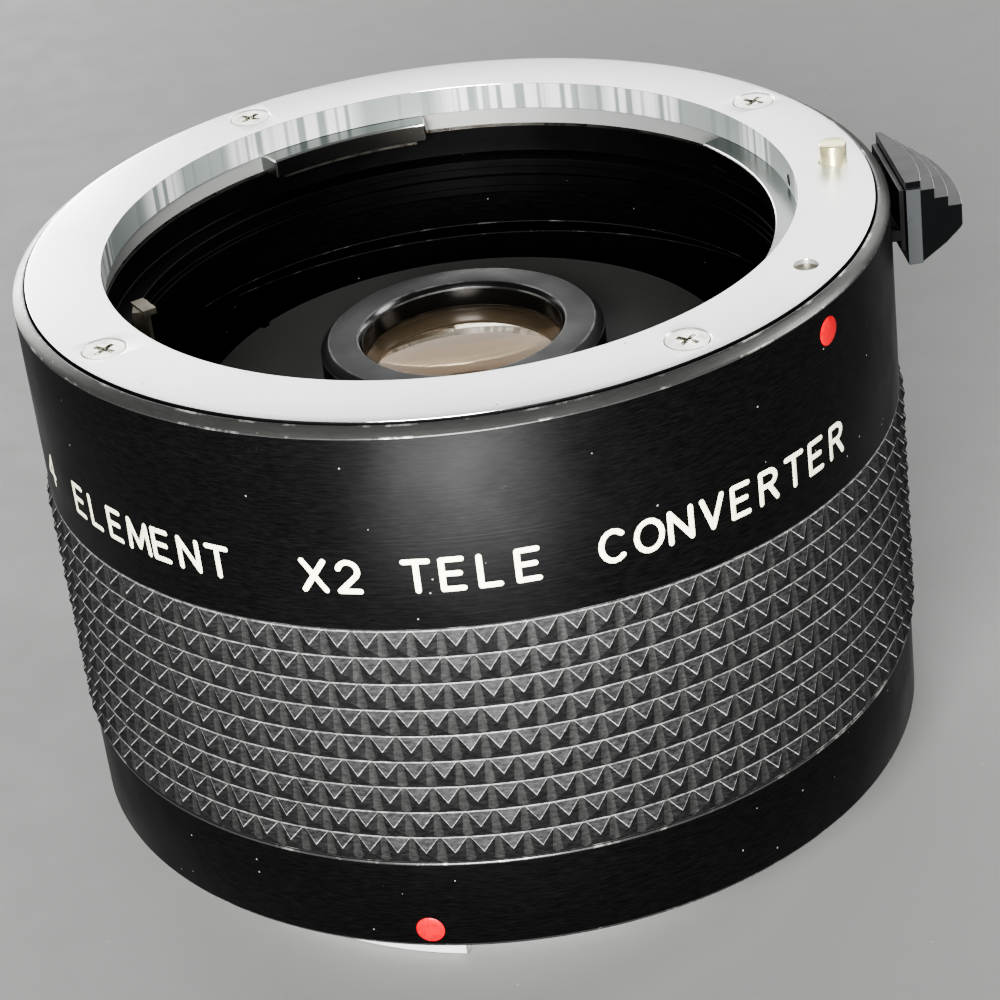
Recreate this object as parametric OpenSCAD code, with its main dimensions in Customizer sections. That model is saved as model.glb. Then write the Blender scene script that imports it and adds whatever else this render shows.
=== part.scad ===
// Camera teleconverter with a three-lug bayonet at both ends.
// The optical axis is the Z axis, z = 0 is the rear flange face and +Z points to the front mount.
// It stands on the end of its rear bayonet. Sizes are in mm, angles run anticlockwise seen from the front.

/* [Barrel] */
// distance from the rear flange face to the front flange face
total_h = 40.1; // [39.6:0.1:42]
// height of the plain ring at the rear
rear_ring_h = 7.1; // [6.8:0.1:8]
// wall of the barrel under the grip
wall_t = 1.8; // [1.5:0.1:1.9]
// width of the barrel rim outside the front flange
rim_w = 0.97; // [0.9:0.01:1.2]
// width of the rim's chamfer
rim_chamfer_w = 0.7; // [0.4:0.05:0.75]
// height of the rim's chamfer
rim_chamfer_h = 0.5; // [0.3:0.05:0.8]

/* [Grip] */
// height of the rubber grip
grip_h = 18; // [16:0.5:18.5]
// rows of pyramids
grip_rows = 9; // [7:1:9]
// pyramids in one row
grip_columns = 100; // [80:1:104]
// height of a pyramid
pyramid_h = 0.42; // [0.2:0.02:0.5]
// share of a column that is the upright groove
groove_share = 0.2; // [0.1:0.02:0.4]
// depth of the seat that the grip lies in
grip_seat_depth = 1.25; // [1:0.05:1.4]
// clearance round the inside of the grip
grip_fit = 0.05; // [0.03:0.01:0.1]

/* [Front bayonet] */
// diameter of the throat, which the whole barrel is built round
throat_d = 48.1; // [47.9:0.05:48.3]
// width of the flange's face
flange_w = 5.23; // [5:0.01:5.5]
// radial height of a lug
lug_depth = 1.65; // [1.45:0.05:1.75]
// thickness of the flange plate
flange_t = 2; // [1.9:0.05:2.1]
// thickness of a lug
lug_t = 1.4; // [1.2:0.05:1.5]
// height of the flange above the barrel's rim
flange_proud = 0.25; // [0.1:0.05:0.4]
// wall of the neck under the flange, as a share of the flange's width
neck_share = 0.22; // [0.2:0.01:0.23]
// clearance between flange and barrel
flange_fit = 0.1; // [0.05:0.01:0.2]
// place of the flange screws across the flange, as a share of its width
screw_share = 0.564; // [0.54:0.002:0.58]
// angle of the first flange screw
screw_angle = 30.8; // [28:0.1:34]

/* [Rear bayonet] */
// length of the rear bayonet behind its flange
tail_len = 5.1; // [4.9:0.1:5.3]
// height of the rear flange face outside the rear ring
rear_proud = 0.5; // [0.3:0.1:0.6]
// radial clearance of the rear spigot in a throat
spigot_fit = 0.05; // [0.03:0.01:0.08]
// radial clearance of the rear tube inside a lug ring
tube_fit = 0.2; // [0.15:0.01:0.3]
// wall of the rear tube
tube_wall = 1.6; // [1.4:0.1:1.7]
// thickness of the rear flange plate
rear_plate_t = 1.8; // [1.7:0.05:2]
// wall of the rear flange plate outside the lock hole
rear_plate_margin = 0.22; // [0.15:0.01:0.3]
// thickness of the shim
shim_t = 0.15; // [0.05:0.05:0.3]

/* [Release] */
// angle of the lock pin
pin_angle = 2.5; // [0:0.5:5]
// place of the lock pin across the flange, as a share of its width
pin_share = 0.57; // [0.56:0.002:0.58]
// diameter of the lock pin, as a share of the flange's width
pin_d_share = 0.3633; // [0.34:0.001:0.38]
// height of the lock pin above the flange
pin_stand = 1.4; // [1.2:0.05:1.5]
// radial clearance of the lock pin
pin_fit = 0.05; // [0.03:0.01:0.08]
// stroke of the release
release_stroke = 1.6; // [1.55:0.05:1.7]
// length of the release tab round the barrel
tab_len = 9.2; // [8.4:0.1:9.4]
// depth of one terrace of the tab
terrace_w = 0.92; // [0.8:0.02:1]
// drop from one terrace to the next
terrace_drop = 0.72; // [0.6:0.02:0.75]
// gap between barrel and release plate
plate_gap = 0.35; // [0.3:0.05:0.5]

/* [Couplings] */
// angle of the front stop-down lever
stop_angle = 179.5; // [177:0.5:182]
// turn of the stop-down ring
stop_turn = 14; // [10:1:16]
// angle of the front aperture lever
aperture_angle = 235; // [230:1:238]
// turn of the aperture ring
aperture_turn = 40; // [30:1:42]
// depth of the stop-down lever's tip below the flange
stop_tip_depth = 3.7; // [3.4:0.1:4.2]
// radial clearance of a coupling ring on the drum
ring_fit = 0.06; // [0.04:0.01:0.1]
// thickness of a coupling ring
ring_t = 1; // [0.9:0.05:1.1]
// width of a lever
lever_w = 1.9; // [1.6:0.1:2.2]
// thickness of a lever
lever_t = 1; // [0.8:0.05:1.1]

/* [Optics] */
// depth of the carrier's floor below the flange
floor_depth = 12; // [11.8:0.1:12.4]
// gap between a lever and the drum that its ring turns on
lever_gap = 2.5; // [2.4:0.05:2.6]
// depth of the front ring's face below the flange
cell_depth = 8.4; // [8.2:0.1:8.6]
// width of the front ring's lip over the lens
cell_lip = 1.1; // [0.8:0.05:1.3]
// outer radius of the lens cell
cell_r = 9.2; // [9.15:0.05:9.3]
// radial clearance of the cell in the carrier
cell_fit = 0.04; // [0.03:0.01:0.08]
// radial clearance of a lens in the cell
lens_fit = 0.05; // [0.03:0.01:0.08]

/* [Hidden] */
$fn = 96;
eps = 0.01;
seat_fit = 0.03;

// Radii that follow from the driving sizes.
throat_r = throat_d / 2;
flange_r = throat_r + flange_w;
barrel_r = flange_r + rim_w;
rim_r = flange_r + flange_fit;
seat_r = barrel_r - grip_seat_depth;
chamber_r = seat_r - wall_t;
lug_r = throat_r - lug_depth;
neck_r = throat_r + neck_share * flange_w;
relief_r = throat_r + 0.35 * (neck_r - throat_r);
trap_r0 = throat_r - 1;
trap_r1 = throat_r - 0.5;
bore_r = neck_r + flange_fit;
step_r = bore_r - 0.7;
spigot_r = throat_r - spigot_fit;
tail_lug_r = spigot_r - 0.2;
tube_r = lug_r - tube_fit;
tube_in_r = tube_r - tube_wall;
web_r = spigot_r + 0.6;
screw_circle_r = throat_r + screw_share * flange_w;
pin_circle_r = throat_r + pin_share * flange_w;
pin_d = pin_d_share * flange_w;
lock_hole_r = pin_d / 2 + 0.2;
rear_plate_r = pin_circle_r + lock_hole_r + rear_plate_margin;
plate_recess_r = rear_plate_r + flange_fit;
lever_r0 = trap_r0 - lever_t - 0.55;
drum_r = lever_r0 - lever_gap;
ear_r = lever_r0 + lever_t + 0.15;

// Heights from the rear flange face.
rear_face_z = 0;
tail_z = rear_face_z - tail_len;
plate_z1 = rear_face_z + rear_plate_t;
web_z0 = plate_z1 + shim_t;
web_z1 = web_z0 + 2;
ring_z0 = rear_face_z + rear_proud;
ring_z1 = ring_z0 + rear_ring_h;
grip_z1 = ring_z1 + grip_h;

// Heights that hang from the front flange.
flange_z1 = total_h;
flange_z0 = flange_z1 - flange_t;
lug_z0 = flange_z0 - lug_t;
rim_z = flange_z1 - flange_proud;
spring_t = 0.25;
throat_ring_z1 = lug_z0 - spring_t;
throat_depth = 8.7;
thick_depth = throat_depth + 3;
shelf_depth = floor_depth + 12.8;
throat_step_z = total_h - throat_depth;
thick_z0 = total_h - thick_depth;
shelf_z0 = total_h - shelf_depth;
shelf_h = 2;
shelf_r = (ear_r + chamber_r) / 2 + 0.275;
shelf_w = chamber_r - shelf_r;
floor_z = total_h - floor_depth;
cell_top_z = total_h - cell_depth;

// Screws, dowel and index dots.
screw_head_r = 0.2715 * flange_w;
screw_hole_r = 0.1816 * flange_w;
screw_shank_r = 0.153 * flange_w;
screw_head_h = 0.75;
screw_len = 5.4;
cross_w = 0.42;
cross_depth = 0.55;
rear_screw_circle_r = (spigot_r + rear_plate_r) / 2;
rear_screw_len = 3.6;
dowel_angle = -33.2;
dowel_r = screw_shank_r;
dowel_len = 6;
dot_r = 0.98;
dot_t = 0.8;
front_dot_angle = -40.1;
front_dot_z = total_h - 2.57;
rear_dot_angle = -103.7;
rear_dot_z = ring_z0 + 1.6;
stop_pin_angle = 5.2;
stop_pin_r = 0.4;
stop_pin_z = total_h - 1.45;

// Lugs: first angle and last angle of each one, front and rear.
front_lugs = [[92, 123], [-36.4, 32], [206, 261.6]];
rear_lug_w = 57;
lock_turn = front_dot_angle - rear_dot_angle;
gap_mids = [62, 153, -67.2];
seam_angle = 44;

// Release: sizes in the frame that is turned to the lock pin.
pocket_w = tab_len + 0.3;
collar_gap = 0.048 * flange_w;
collar_r = pin_d / 2 + collar_gap;
pocket_x0 = pin_circle_r - collar_r - collar_gap;
pocket_z0 = total_h - 7.4;
release_plate_t = 0.8;
release_plate_z = pocket_z0 + 2.6;
window_z0 = release_plate_z - release_stroke - 0.15;
guide_depth = 3.4;
tail_pin_r = 0.3158 * pin_d;
spring_wire_r = 0.14;
spring_coil_r = tail_pin_r + 0.3;
well_r = spring_coil_r + 0.35;
upright_t = 0.4;
upright_x0 = barrel_r + plate_gap;
tab_x0 = upright_x0 + upright_t;
tab_top_z = total_h - 0.35;
tab_bottom_z = total_h - 6.45;
terrace_n = 4;
tab_arc_r = 15.85;
tab_arc_x = tab_x0 + 1.45 - tab_arc_r;
tab_arc_y = -1.1;
pin_tail_len = 4.2;
tab_tip_h = 3.4;
tab_tip_w = 4.4;
rivet_r = 0.55;
rivet_y = tab_len / 2 - 1.9;
rivet_z = release_plate_z + 1.9;

// Couplings: rings on the drum, ears that carry the levers.
ring_in_r = drum_r + ring_fit;
ring_out_r = drum_r + 1.6;
ring_gap = 0.05;
stop_ring_z = shelf_z0 + ring_gap;
washer_t = 0.2;
washer_z = stop_ring_z + ring_t + ring_gap;
aperture_ring_z = washer_z + washer_t + ring_gap;
clip_z = aperture_ring_z + ring_t + ring_gap;
clip_t = 0.5;
clip_a0 = 280;
clip_sweep = 335;
clip_groove_r = drum_r - 0.6;
ear_half = 4;
slot_r0 = lever_r0 - 0.35;
slot_r1 = lever_r0 + lever_t + 0.35;
stop_rear_angle = 70;
aperture_rear_angle = -60;
rear_lever_r0 = tube_in_r - 0.7 - lever_t;
rear_lever_z0 = tail_z + 0.7;
jog_z = web_z1 + 1.4;
head_t = 0.45;
head_twist = 28;
head_in = 0.25;
slot_margin = 5.5;
wire_r = 0.2;
wire_coil_r = drum_r + 0.5;
stop_wire_z = clip_z + clip_t + 0.6;
aperture_wire_z = stop_wire_z + 0.8;

// Optics: heights of the lens vertices, from the front ring down.
base_t = 2;
base_z0 = shelf_z0 - base_t;
base_r = chamber_r - flange_fit;
carrier_screw_r = 0.35 * shelf_w;
carrier_hole_r = 1.21 * carrier_screw_r;
carrier_head_r = 1.35 * carrier_screw_r;
carrier_circle_r = base_r - 0.45 * shelf_w;
drum_wall = 1.6;
floor_t = 1.5;
cell_in_r = cell_r - 1;
lens_r = cell_in_r - lens_fit;
cell_z0 = rear_face_z + 3.5;
cell_z1 = cell_top_z - 1.6;
cell_clear_r = lens_r - cell_lip;
skirt_z0 = floor_z + 0.7;
shoulder_r = cell_r + 2;
shoulder_t = 1.5;
front_curve = 32;
front_vertex_z = cell_top_z - 1.1;
front_thick = 3.4;
front_back_curve = 50;
negative_z1 = front_vertex_z - 7;
negative_curve = 26;
negative_thick = 1.8;
cement_curve = 19;
cement_gap = 0.02;
positive_thick = 5.2;
positive_curve = 42;
rear_curve = 24;
rear_thick = 2;
rear_vertex_z = cell_z0 + 4.6;
ring_lip = 0.05;

// node to draw, or all of them

// Height of a sphere's cap at radius r.
function sag(curve, r) = curve - sqrt(curve * curve - r * r);

// A plain ring.
module band(r0, r1, z0, h) {
    rotate_extrude() translate([r0, z0]) square([r1 - r0, h]);
}

// A part of a ring, from angle a0 to a1.
module arc(r0, r1, z0, h, a0, a1) {
    rotate([0, 0, a0]) rotate_extrude(angle = a1 - a0) translate([r0, z0]) square([r1 - r0, h]);
}

// Places on a circle.
module at(r, a, z = 0) {
    rotate([0, 0, a]) translate([r, 0, z]) children();
}

// The four places of the mount screws.
module screw_places(r, z = 0) {
    for (k = [0 : 3]) at(r, screw_angle + 90 * k, z) children();
}

// A countersunk screw with a cross recess, its face at z = 0 and its point down.
module countersunk(len) {
    difference() {
        union() {
            translate([0, 0, -screw_head_h]) cylinder(r1 = screw_shank_r, r2 = screw_head_r, h = screw_head_h);
            translate([0, 0, -len]) cylinder(r = screw_shank_r, h = len - screw_head_h + eps);
        }
        for (a = [0, 90]) rotate([0, 0, a + 20])
            translate([-0.9, -cross_w / 2, -cross_depth]) cube([1.8, cross_w, cross_depth + eps]);
    }
}

// The hole for such a screw in a plate of thickness t.
module countersink(t) {
    translate([0, 0, -screw_head_h - 0.05])
        cylinder(r1 = screw_hole_r, r2 = screw_head_r + 0.12, h = screw_head_h + 0.05 + eps);
    translate([0, 0, -t - eps]) cylinder(r = screw_hole_r, h = t);
}

// A round peg set from outside into the barrel, its axis radial.
module radial_peg(r, r0, r1, a, z) {
    rotate([0, 0, a]) translate([r0, 0, z]) rotate([0, 90, 0]) cylinder(r = r, h = r1 - r0);
}

module main_barrel() {
    color([0.08, 0.08, 0.085]) difference() {
        rotate_extrude() polygon([
            [chamber_r, web_z1], [seat_r, web_z1], [seat_r, grip_z1], [barrel_r, grip_z1],
            [barrel_r, rim_z - rim_chamfer_h], [barrel_r - rim_chamfer_w, rim_z], [rim_r, rim_z],
            [rim_r, flange_z0], [bore_r, flange_z0], [bore_r, throat_step_z], [step_r, throat_step_z],
            [step_r, thick_z0], [chamber_r, thick_z0 - 2], [chamber_r, shelf_z0 + shelf_h],
            [shelf_r, shelf_z0 + shelf_h], [shelf_r, shelf_z0], [chamber_r, shelf_z0]
        ]);
        screw_places(screw_circle_r, flange_z1 - screw_len - 0.3)
            cylinder(r = screw_shank_r + seat_fit, h = screw_len);
        at(screw_circle_r, dowel_angle, flange_z1 - 0.3 - dowel_len - 0.2)
            cylinder(r = dowel_r + seat_fit, h = dowel_len);
        radial_peg(dot_r + seat_fit, barrel_r - dot_t, barrel_r + 1, front_dot_angle, front_dot_z);
        rotate([0, 0, pin_angle]) {
            translate([pocket_x0, -pocket_w / 2, window_z0])
                cube([barrel_r, pocket_w, flange_z0 - window_z0]);
            translate([pin_circle_r, 0, pocket_z0]) cylinder(r = well_r, h = 2);
            translate([pin_circle_r, 0, pocket_z0 - guide_depth])
                cylinder(r = tail_pin_r + pin_fit, h = guide_depth + 0.6);
        }
        for (k = [0 : 2]) at(carrier_circle_r, 90 + 120 * k, shelf_z0 - 1)
            cylinder(r = carrier_screw_r + seat_fit, h = shelf_h + 2);
    }
}

module grip_sleeve() {
    n = grip_columns;
    m = 2 * n;
    pitch = 360 / n;
    groove = pitch * groove_share;
    z0 = ring_z1 + 0.05;
    row_h = (grip_h - 0.1) / grip_rows;
    base_rad = barrel_r - 0.05;
    in_r = (seat_r + grip_fit) / cos(180 / n);
    ang = [for (i = [0 : n - 1]) each [i * pitch + groove / 2, (i + 1) * pitch - groove / 2]];
    outer = [for (j = [0 : grip_rows]) for (a = ang)
        [base_rad * cos(a), base_rad * sin(a), z0 + j * row_h]];
    tips = [for (j = [0 : grip_rows - 1]) for (i = [0 : n - 1]) let (a = (i + 0.5) * pitch)
        [(base_rad + pyramid_h) * cos(a), (base_rad + pyramid_h) * sin(a), z0 + (j + 0.5) * row_h]];
    inner = [for (j = [0, 1]) for (a = ang)
        [in_r * cos(a), in_r * sin(a), z0 + j * grip_rows * row_h]];
    t0 = len(outer);
    b0 = t0 + len(tips);
    sides = [for (j = [0 : grip_rows - 1]) for (i = [0 : n - 1])
        let (p = j * m + 2 * i, q = p + m, t = t0 + j * n + i)
        each [[p, q, t], [q, q + 1, t], [q + 1, p + 1, t], [p + 1, p, t]]];
    grooves = [for (j = [0 : grip_rows - 1]) for (i = [0 : n - 1])
        let (p = j * m + 2 * i + 1, s = j * m + (2 * i + 2) % m)
        [p, p + m, s + m, s]];
    top = grip_rows * m;
    ends = [for (k = [0 : m - 1]) let (l = (k + 1) % m)
        each [[k, l, b0 + l, b0 + k], [top + l, top + k, b0 + m + k, b0 + m + l]]];
    walls = [for (k = [0 : m - 1]) let (l = (k + 1) % m)
        [b0 + k, b0 + l, b0 + m + l, b0 + m + k]];
    color([0.12, 0.12, 0.125])
        polyhedron(points = concat(outer, tips, inner), faces = concat(sides, grooves, ends, walls));
}

module rear_ring() {
    color([0.08, 0.08, 0.085]) difference() {
        rotate_extrude() polygon([
            [plate_recess_r, ring_z0], [barrel_r - 0.35, ring_z0], [barrel_r, ring_z0 + 0.35],
            [barrel_r, ring_z1 - 0.15], [barrel_r - 0.15, ring_z1], [seat_r + seat_fit, ring_z1],
            [seat_r + seat_fit, web_z1], [web_r, web_z1], [web_r, web_z0], [plate_recess_r, web_z0]
        ]);
        screw_places(rear_screw_circle_r, web_z0 - 1) cylinder(r = screw_shank_r + seat_fit, h = 4);
        at(pin_circle_r, pin_angle, web_z0 - 1) cylinder(r = pin_d / 2 + 0.3, h = 2.4);
        radial_peg(dot_r + seat_fit, barrel_r - dot_t, barrel_r + 1, rear_dot_angle, rear_dot_z);
    }
}

module front_bayonet() {
    color([0.8, 0.8, 0.8]) difference() {
        union() {
            rotate_extrude() polygon([
                [relief_r, lug_z0], [neck_r, lug_z0], [neck_r, flange_z0], [flange_r, flange_z0],
                [flange_r, flange_z1 - 0.25], [flange_r - 0.25, flange_z1], [throat_r, flange_z1],
                [throat_r, flange_z0 - eps], [relief_r, flange_z0 - eps]
            ]);
            for (lug = front_lugs) arc(lug_r, relief_r + 0.1, lug_z0, lug_t, lug[0], lug[1]);
        }
        screw_places(screw_circle_r, flange_z1) countersink(flange_t + eps);
        at(pin_circle_r, pin_angle, flange_z0 - 1) cylinder(r = pin_d / 2 + pin_fit, h = flange_t + 2);
        at(screw_circle_r, dowel_angle, flange_z0 - 1) cylinder(r = dowel_r + seat_fit, h = flange_t + 2);
        radial_peg(stop_pin_r + seat_fit, throat_r - 1, throat_r + 1.2, stop_pin_angle, stop_pin_z);
    }
}

module flange_screws() {
    color([0.72, 0.72, 0.7]) screw_places(screw_circle_r, flange_z1 - 0.05) countersunk(screw_len);
}

module flange_dowel() {
    color([0.5, 0.5, 0.5]) at(screw_circle_r, dowel_angle, flange_z1 - 0.3 - dowel_len)
        cylinder(r = dowel_r, h = dowel_len);
}

module throat_stop_pin() {
    color([0.5, 0.5, 0.5])
        radial_peg(stop_pin_r, throat_r + 0.08, throat_r + 1.15, stop_pin_angle, stop_pin_z);
}

module bayonet_spring() {
    color([0.62, 0.6, 0.56]) {
        band(relief_r + 0.1, neck_r, throat_ring_z1, spring_t);
        for (lug = front_lugs) {
            arc(lug_r + 0.25, relief_r - 0.25, throat_ring_z1, spring_t, lug[0] + 2, lug[1] - 2);
            arc(lug_r + 0.25, relief_r + 0.3, throat_ring_z1, spring_t, lug[0] + 2, lug[0] + 9);
        }
    }
}

module throat_ring() {
    free_z = total_h - tail_len - 0.5;
    ridge = (free_z - throat_step_z) / 4;
    color([0.05, 0.05, 0.05]) rotate_extrude() polygon([
        [neck_r, throat_step_z], [neck_r, throat_ring_z1], [relief_r, throat_ring_z1], [relief_r, free_z],
        [trap_r0, free_z - 0.2], [trap_r0, free_z - ridge], [trap_r1, free_z - ridge],
        [trap_r1, free_z - 2 * ridge], [trap_r0, free_z - 2 * ridge],
        [trap_r0, free_z - 3 * ridge], [trap_r1, free_z - 3 * ridge], [trap_r1, throat_step_z]
    ]);
}

module front_index_dot() {
    color([0.9, 0.15, 0.15])
        radial_peg(dot_r, barrel_r - dot_t, barrel_r + 0.02, front_dot_angle, front_dot_z);
}

module rear_index_dot() {
    color([0.9, 0.15, 0.15])
        radial_peg(dot_r, barrel_r - dot_t, barrel_r + 0.02, rear_dot_angle, rear_dot_z);
}

module optics_carrier() {
    hole_r = cell_r + cell_fit;
    color([0.06, 0.06, 0.06]) difference() {
        rotate_extrude() polygon([
            [hole_r, base_z0], [base_r, base_z0], [base_r, shelf_z0], [drum_r, shelf_z0],
            [drum_r, clip_z], [clip_groove_r, clip_z], [clip_groove_r, clip_z + clip_t],
            [drum_r, clip_z + clip_t], [drum_r, floor_z - 0.2], [drum_r - 0.2, floor_z],
            [hole_r, floor_z], [hole_r, floor_z - floor_t], [drum_r - drum_wall, floor_z - floor_t],
            [drum_r - drum_wall, shelf_z0], [hole_r, shelf_z0]
        ]);
        arc(slot_r0, slot_r1, base_z0 - 1, base_t + 2,
            stop_rear_angle - stop_turn - slot_margin, stop_rear_angle + slot_margin);
        arc(slot_r0, slot_r1, base_z0 - 1, base_t + 2,
            aperture_rear_angle - slot_margin, aperture_rear_angle + aperture_turn + slot_margin);
        for (k = [0 : 2]) at(carrier_circle_r, 90 + 120 * k, base_z0 - 1)
            cylinder(r = carrier_hole_r, h = base_t + 2);
        at(drum_r - 0.6, 140, floor_z - 0.8) translate([0, -0.6, 0]) cube([2, 1.2, 2]);
    }
}

module carrier_screws() {
    head_h = 1;
    color([0.55, 0.55, 0.55]) for (k = [0 : 2]) at(carrier_circle_r, 90 + 120 * k, base_z0) difference() {
        union() {
            translate([0, 0, -head_h]) cylinder(r = carrier_head_r, h = head_h);
            translate([0, 0, -eps]) cylinder(r = carrier_screw_r, h = base_t + shelf_h - 0.2);
        }
        translate([-1.5, -0.15, -head_h - eps]) cube([3, 0.3, 0.45]);
    }
}

module lens_cell() {
    color([0.06, 0.06, 0.06]) rotate_extrude() polygon([
        [cell_in_r, cell_z0], [cell_r, cell_z0], [cell_r, base_z0 - shoulder_t],
        [shoulder_r, base_z0 - shoulder_t], [shoulder_r, base_z0], [cell_r, base_z0],
        [cell_r, cell_z1], [cell_in_r, cell_z1]
    ]);
}

module front_retaining_ring() {
    lip_z = front_vertex_z - sag(front_curve, cell_clear_r) + ring_lip;
    skirt_r = cell_r + 0.85;
    color([0.1, 0.1, 0.1]) rotate_extrude() polygon([
        [cell_clear_r, lip_z], [lens_r, lip_z], [lens_r, cell_z1], [cell_r + seat_fit, cell_z1],
        [cell_r + seat_fit, skirt_z0], [skirt_r, skirt_z0], [skirt_r, cell_top_z - 0.6],
        [skirt_r - 0.6, cell_top_z], [cell_clear_r + 0.3, cell_top_z], [cell_clear_r, cell_top_z - 0.4]
    ]);
}

module front_element() {
    low = front_vertex_z - front_thick;
    color([0.55, 0.4, 0.25]) rotate_extrude() intersection() {
        translate([0, low]) square([lens_r, front_thick]);
        translate([0, front_vertex_z - front_curve]) circle(r = front_curve, $fn = 360);
        translate([0, low + front_back_curve]) circle(r = front_back_curve, $fn = 360);
    }
}

module spacer_front() {
    top = front_vertex_z - front_thick + sag(front_back_curve, cell_in_r - 1);
    bottom = negative_z1 + sag(negative_curve, lens_r) + ring_lip;
    color([0.08, 0.08, 0.08]) band(cell_in_r - 1, lens_r, bottom, top - bottom - ring_lip);
}

module middle_negative() {
    rim = negative_z1 + sag(negative_curve, lens_r);
    low = negative_z1 - negative_thick;
    foot = low - sag(cement_curve, lens_r);
    color([0.6, 0.68, 0.7]) rotate_extrude() difference() {
        translate([0, foot]) square([lens_r, rim - foot]);
        translate([0, negative_z1 + negative_curve]) circle(r = negative_curve, $fn = 360);
        translate([0, low - cement_curve]) circle(r = cement_curve, $fn = 360);
    }
}

module middle_positive() {
    low = negative_z1 - negative_thick;
    curve = cement_curve - cement_gap;
    bottom = low - cement_gap - positive_thick;
    color([0.62, 0.68, 0.66]) rotate_extrude() intersection() {
        translate([0, bottom]) square([lens_r, positive_thick]);
        translate([0, low - cement_curve]) circle(r = curve, $fn = 360);
        translate([0, bottom + positive_curve]) circle(r = positive_curve, $fn = 360);
    }
}

module spacer_rear() {
    low = negative_z1 - negative_thick - cement_gap - positive_thick;
    top = low + sag(positive_curve, cell_in_r - 1) - ring_lip;
    bottom = rear_vertex_z + sag(rear_curve, lens_r) + ring_lip;
    color([0.08, 0.08, 0.08]) band(cell_in_r - 1, lens_r, bottom, top - bottom);
}

module rear_element() {
    rim = rear_vertex_z + sag(rear_curve, lens_r);
    foot = rear_vertex_z - rear_thick;
    color([0.6, 0.66, 0.7]) rotate_extrude() difference() {
        translate([0, foot]) square([lens_r, rim - foot]);
        translate([0, rear_vertex_z + rear_curve]) circle(r = rear_curve, $fn = 360);
    }
}

module rear_retaining_ring() {
    top = rear_vertex_z - rear_thick - ring_lip;
    color([0.08, 0.08, 0.08]) difference() {
        band(cell_in_r - 1, lens_r, cell_z0 + 0.4, top - cell_z0 - 0.4);
        for (a = [0, 180]) rotate([0, 0, a]) translate([cell_in_r - 2, -0.4, cell_z0]) cube([3, 0.8, 1]);
    }
}

module rear_baffle() {
    r0 = rear_lever_r0 - 0.35;
    r1 = rear_lever_r0 + lever_t + 0.35;
    color([0.05, 0.05, 0.05]) difference() {
        rotate_extrude() polygon([
            [cell_r + 1.2, plate_z1], [web_r - flange_fit, plate_z1],
            [web_r - flange_fit, plate_z1 + 0.9], [cell_r + 0.6, plate_z1 + 0.9]
        ]);
        arc(r0, r1, plate_z1 - 1, 4,
            stop_rear_angle - stop_turn - slot_margin, stop_rear_angle + slot_margin);
        arc(r0, r1, plate_z1 - 1, 4,
            aperture_rear_angle - slot_margin, aperture_rear_angle + aperture_turn + slot_margin);
    }
}

module mount_shim() {
    color([0.75, 0.62, 0.3]) difference() {
        band(web_r + 0.05, rear_plate_r - 0.1, plate_z1, shim_t);
        screw_places(rear_screw_circle_r, plate_z1 - 1) cylinder(r = screw_hole_r, h = 3);
        at(pin_circle_r, pin_angle, plate_z1 - 1) cylinder(r = lock_hole_r, h = 3);
    }
}

module rear_bayonet() {
    spigot_len = flange_t - 0.2;
    lug_h = tail_len - flange_t - lug_t - spring_t - 0.1;
    color([0.8, 0.8, 0.8]) difference() {
        union() {
            rotate([0, 0, seam_angle]) rotate_extrude() polygon([
                [tube_in_r, tail_z], [tube_r, tail_z], [tube_r, rear_face_z - spigot_len],
                [spigot_r, rear_face_z - spigot_len], [spigot_r, rear_face_z], [rear_plate_r, rear_face_z],
                [rear_plate_r, plate_z1], [tube_in_r, plate_z1]
            ]);
            for (g = gap_mids) arc(tube_r - 0.2, tail_lug_r, tail_z, lug_h,
                g - lock_turn - rear_lug_w / 2, g - lock_turn + rear_lug_w / 2);
        }
        screw_places(rear_screw_circle_r, rear_face_z) rotate([180, 0, 0]) countersink(rear_plate_t + eps);
        at(pin_circle_r, pin_angle, rear_face_z - 1) cylinder(r = lock_hole_r, h = rear_plate_t + 2);
    }
}

module rear_mount_screws() {
    color([0.72, 0.72, 0.7]) screw_places(rear_screw_circle_r, rear_face_z + 0.05)
        rotate([180, 0, 0]) countersunk(rear_screw_len);
}

module lock_pin() {
    top = flange_z1 + pin_stand;
    seat = release_plate_z + release_plate_t;
    color([0.82, 0.74, 0.55]) at(pin_circle_r, pin_angle) rotate_extrude() polygon([
        [0, seat - pin_tail_len], [tail_pin_r, seat - pin_tail_len], [tail_pin_r, seat], [pin_d / 2, seat],
        [pin_d / 2, flange_z0 - 0.75], [collar_r, flange_z0 - 0.75], [collar_r, flange_z0 - 0.05],
        [pin_d / 2, flange_z0 - 0.05], [pin_d / 2, top - 0.2], [pin_d / 2 - 0.2, top], [0, top]
    ]);
}

module lock_pin_spring() {
    turns = 4;
    steps = 12 * turns;
    sides = 6;
    z0 = pocket_z0 + spring_wire_r + 0.02;
    rise = release_plate_z - pocket_z0 - 2 * spring_wire_r - 0.04;
    points = [for (i = [0 : steps]) for (k = [0 : sides - 1])
        let (a = 360 * turns * i / steps, b = 360 * k / sides, r = spring_coil_r + spring_wire_r * cos(b))
        [r * cos(a), r * sin(a), z0 + rise * i / steps + spring_wire_r * sin(b)]];
    skin = [for (i = [0 : steps - 1]) for (k = [0 : sides - 1])
        let (l = (k + 1) % sides, p = i * sides, q = p + sides)
        each [[p + k, q + k, q + l], [p + k, q + l, p + l]]];
    first = [for (k = [0 : sides - 1]) k];
    last = [for (k = [sides - 1 : -1 : 0]) steps * sides + k];
    color([0.6, 0.6, 0.6]) at(pin_circle_r, pin_angle)
        polyhedron(points = points, faces = concat(skin, [first], [last]));
}

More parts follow.
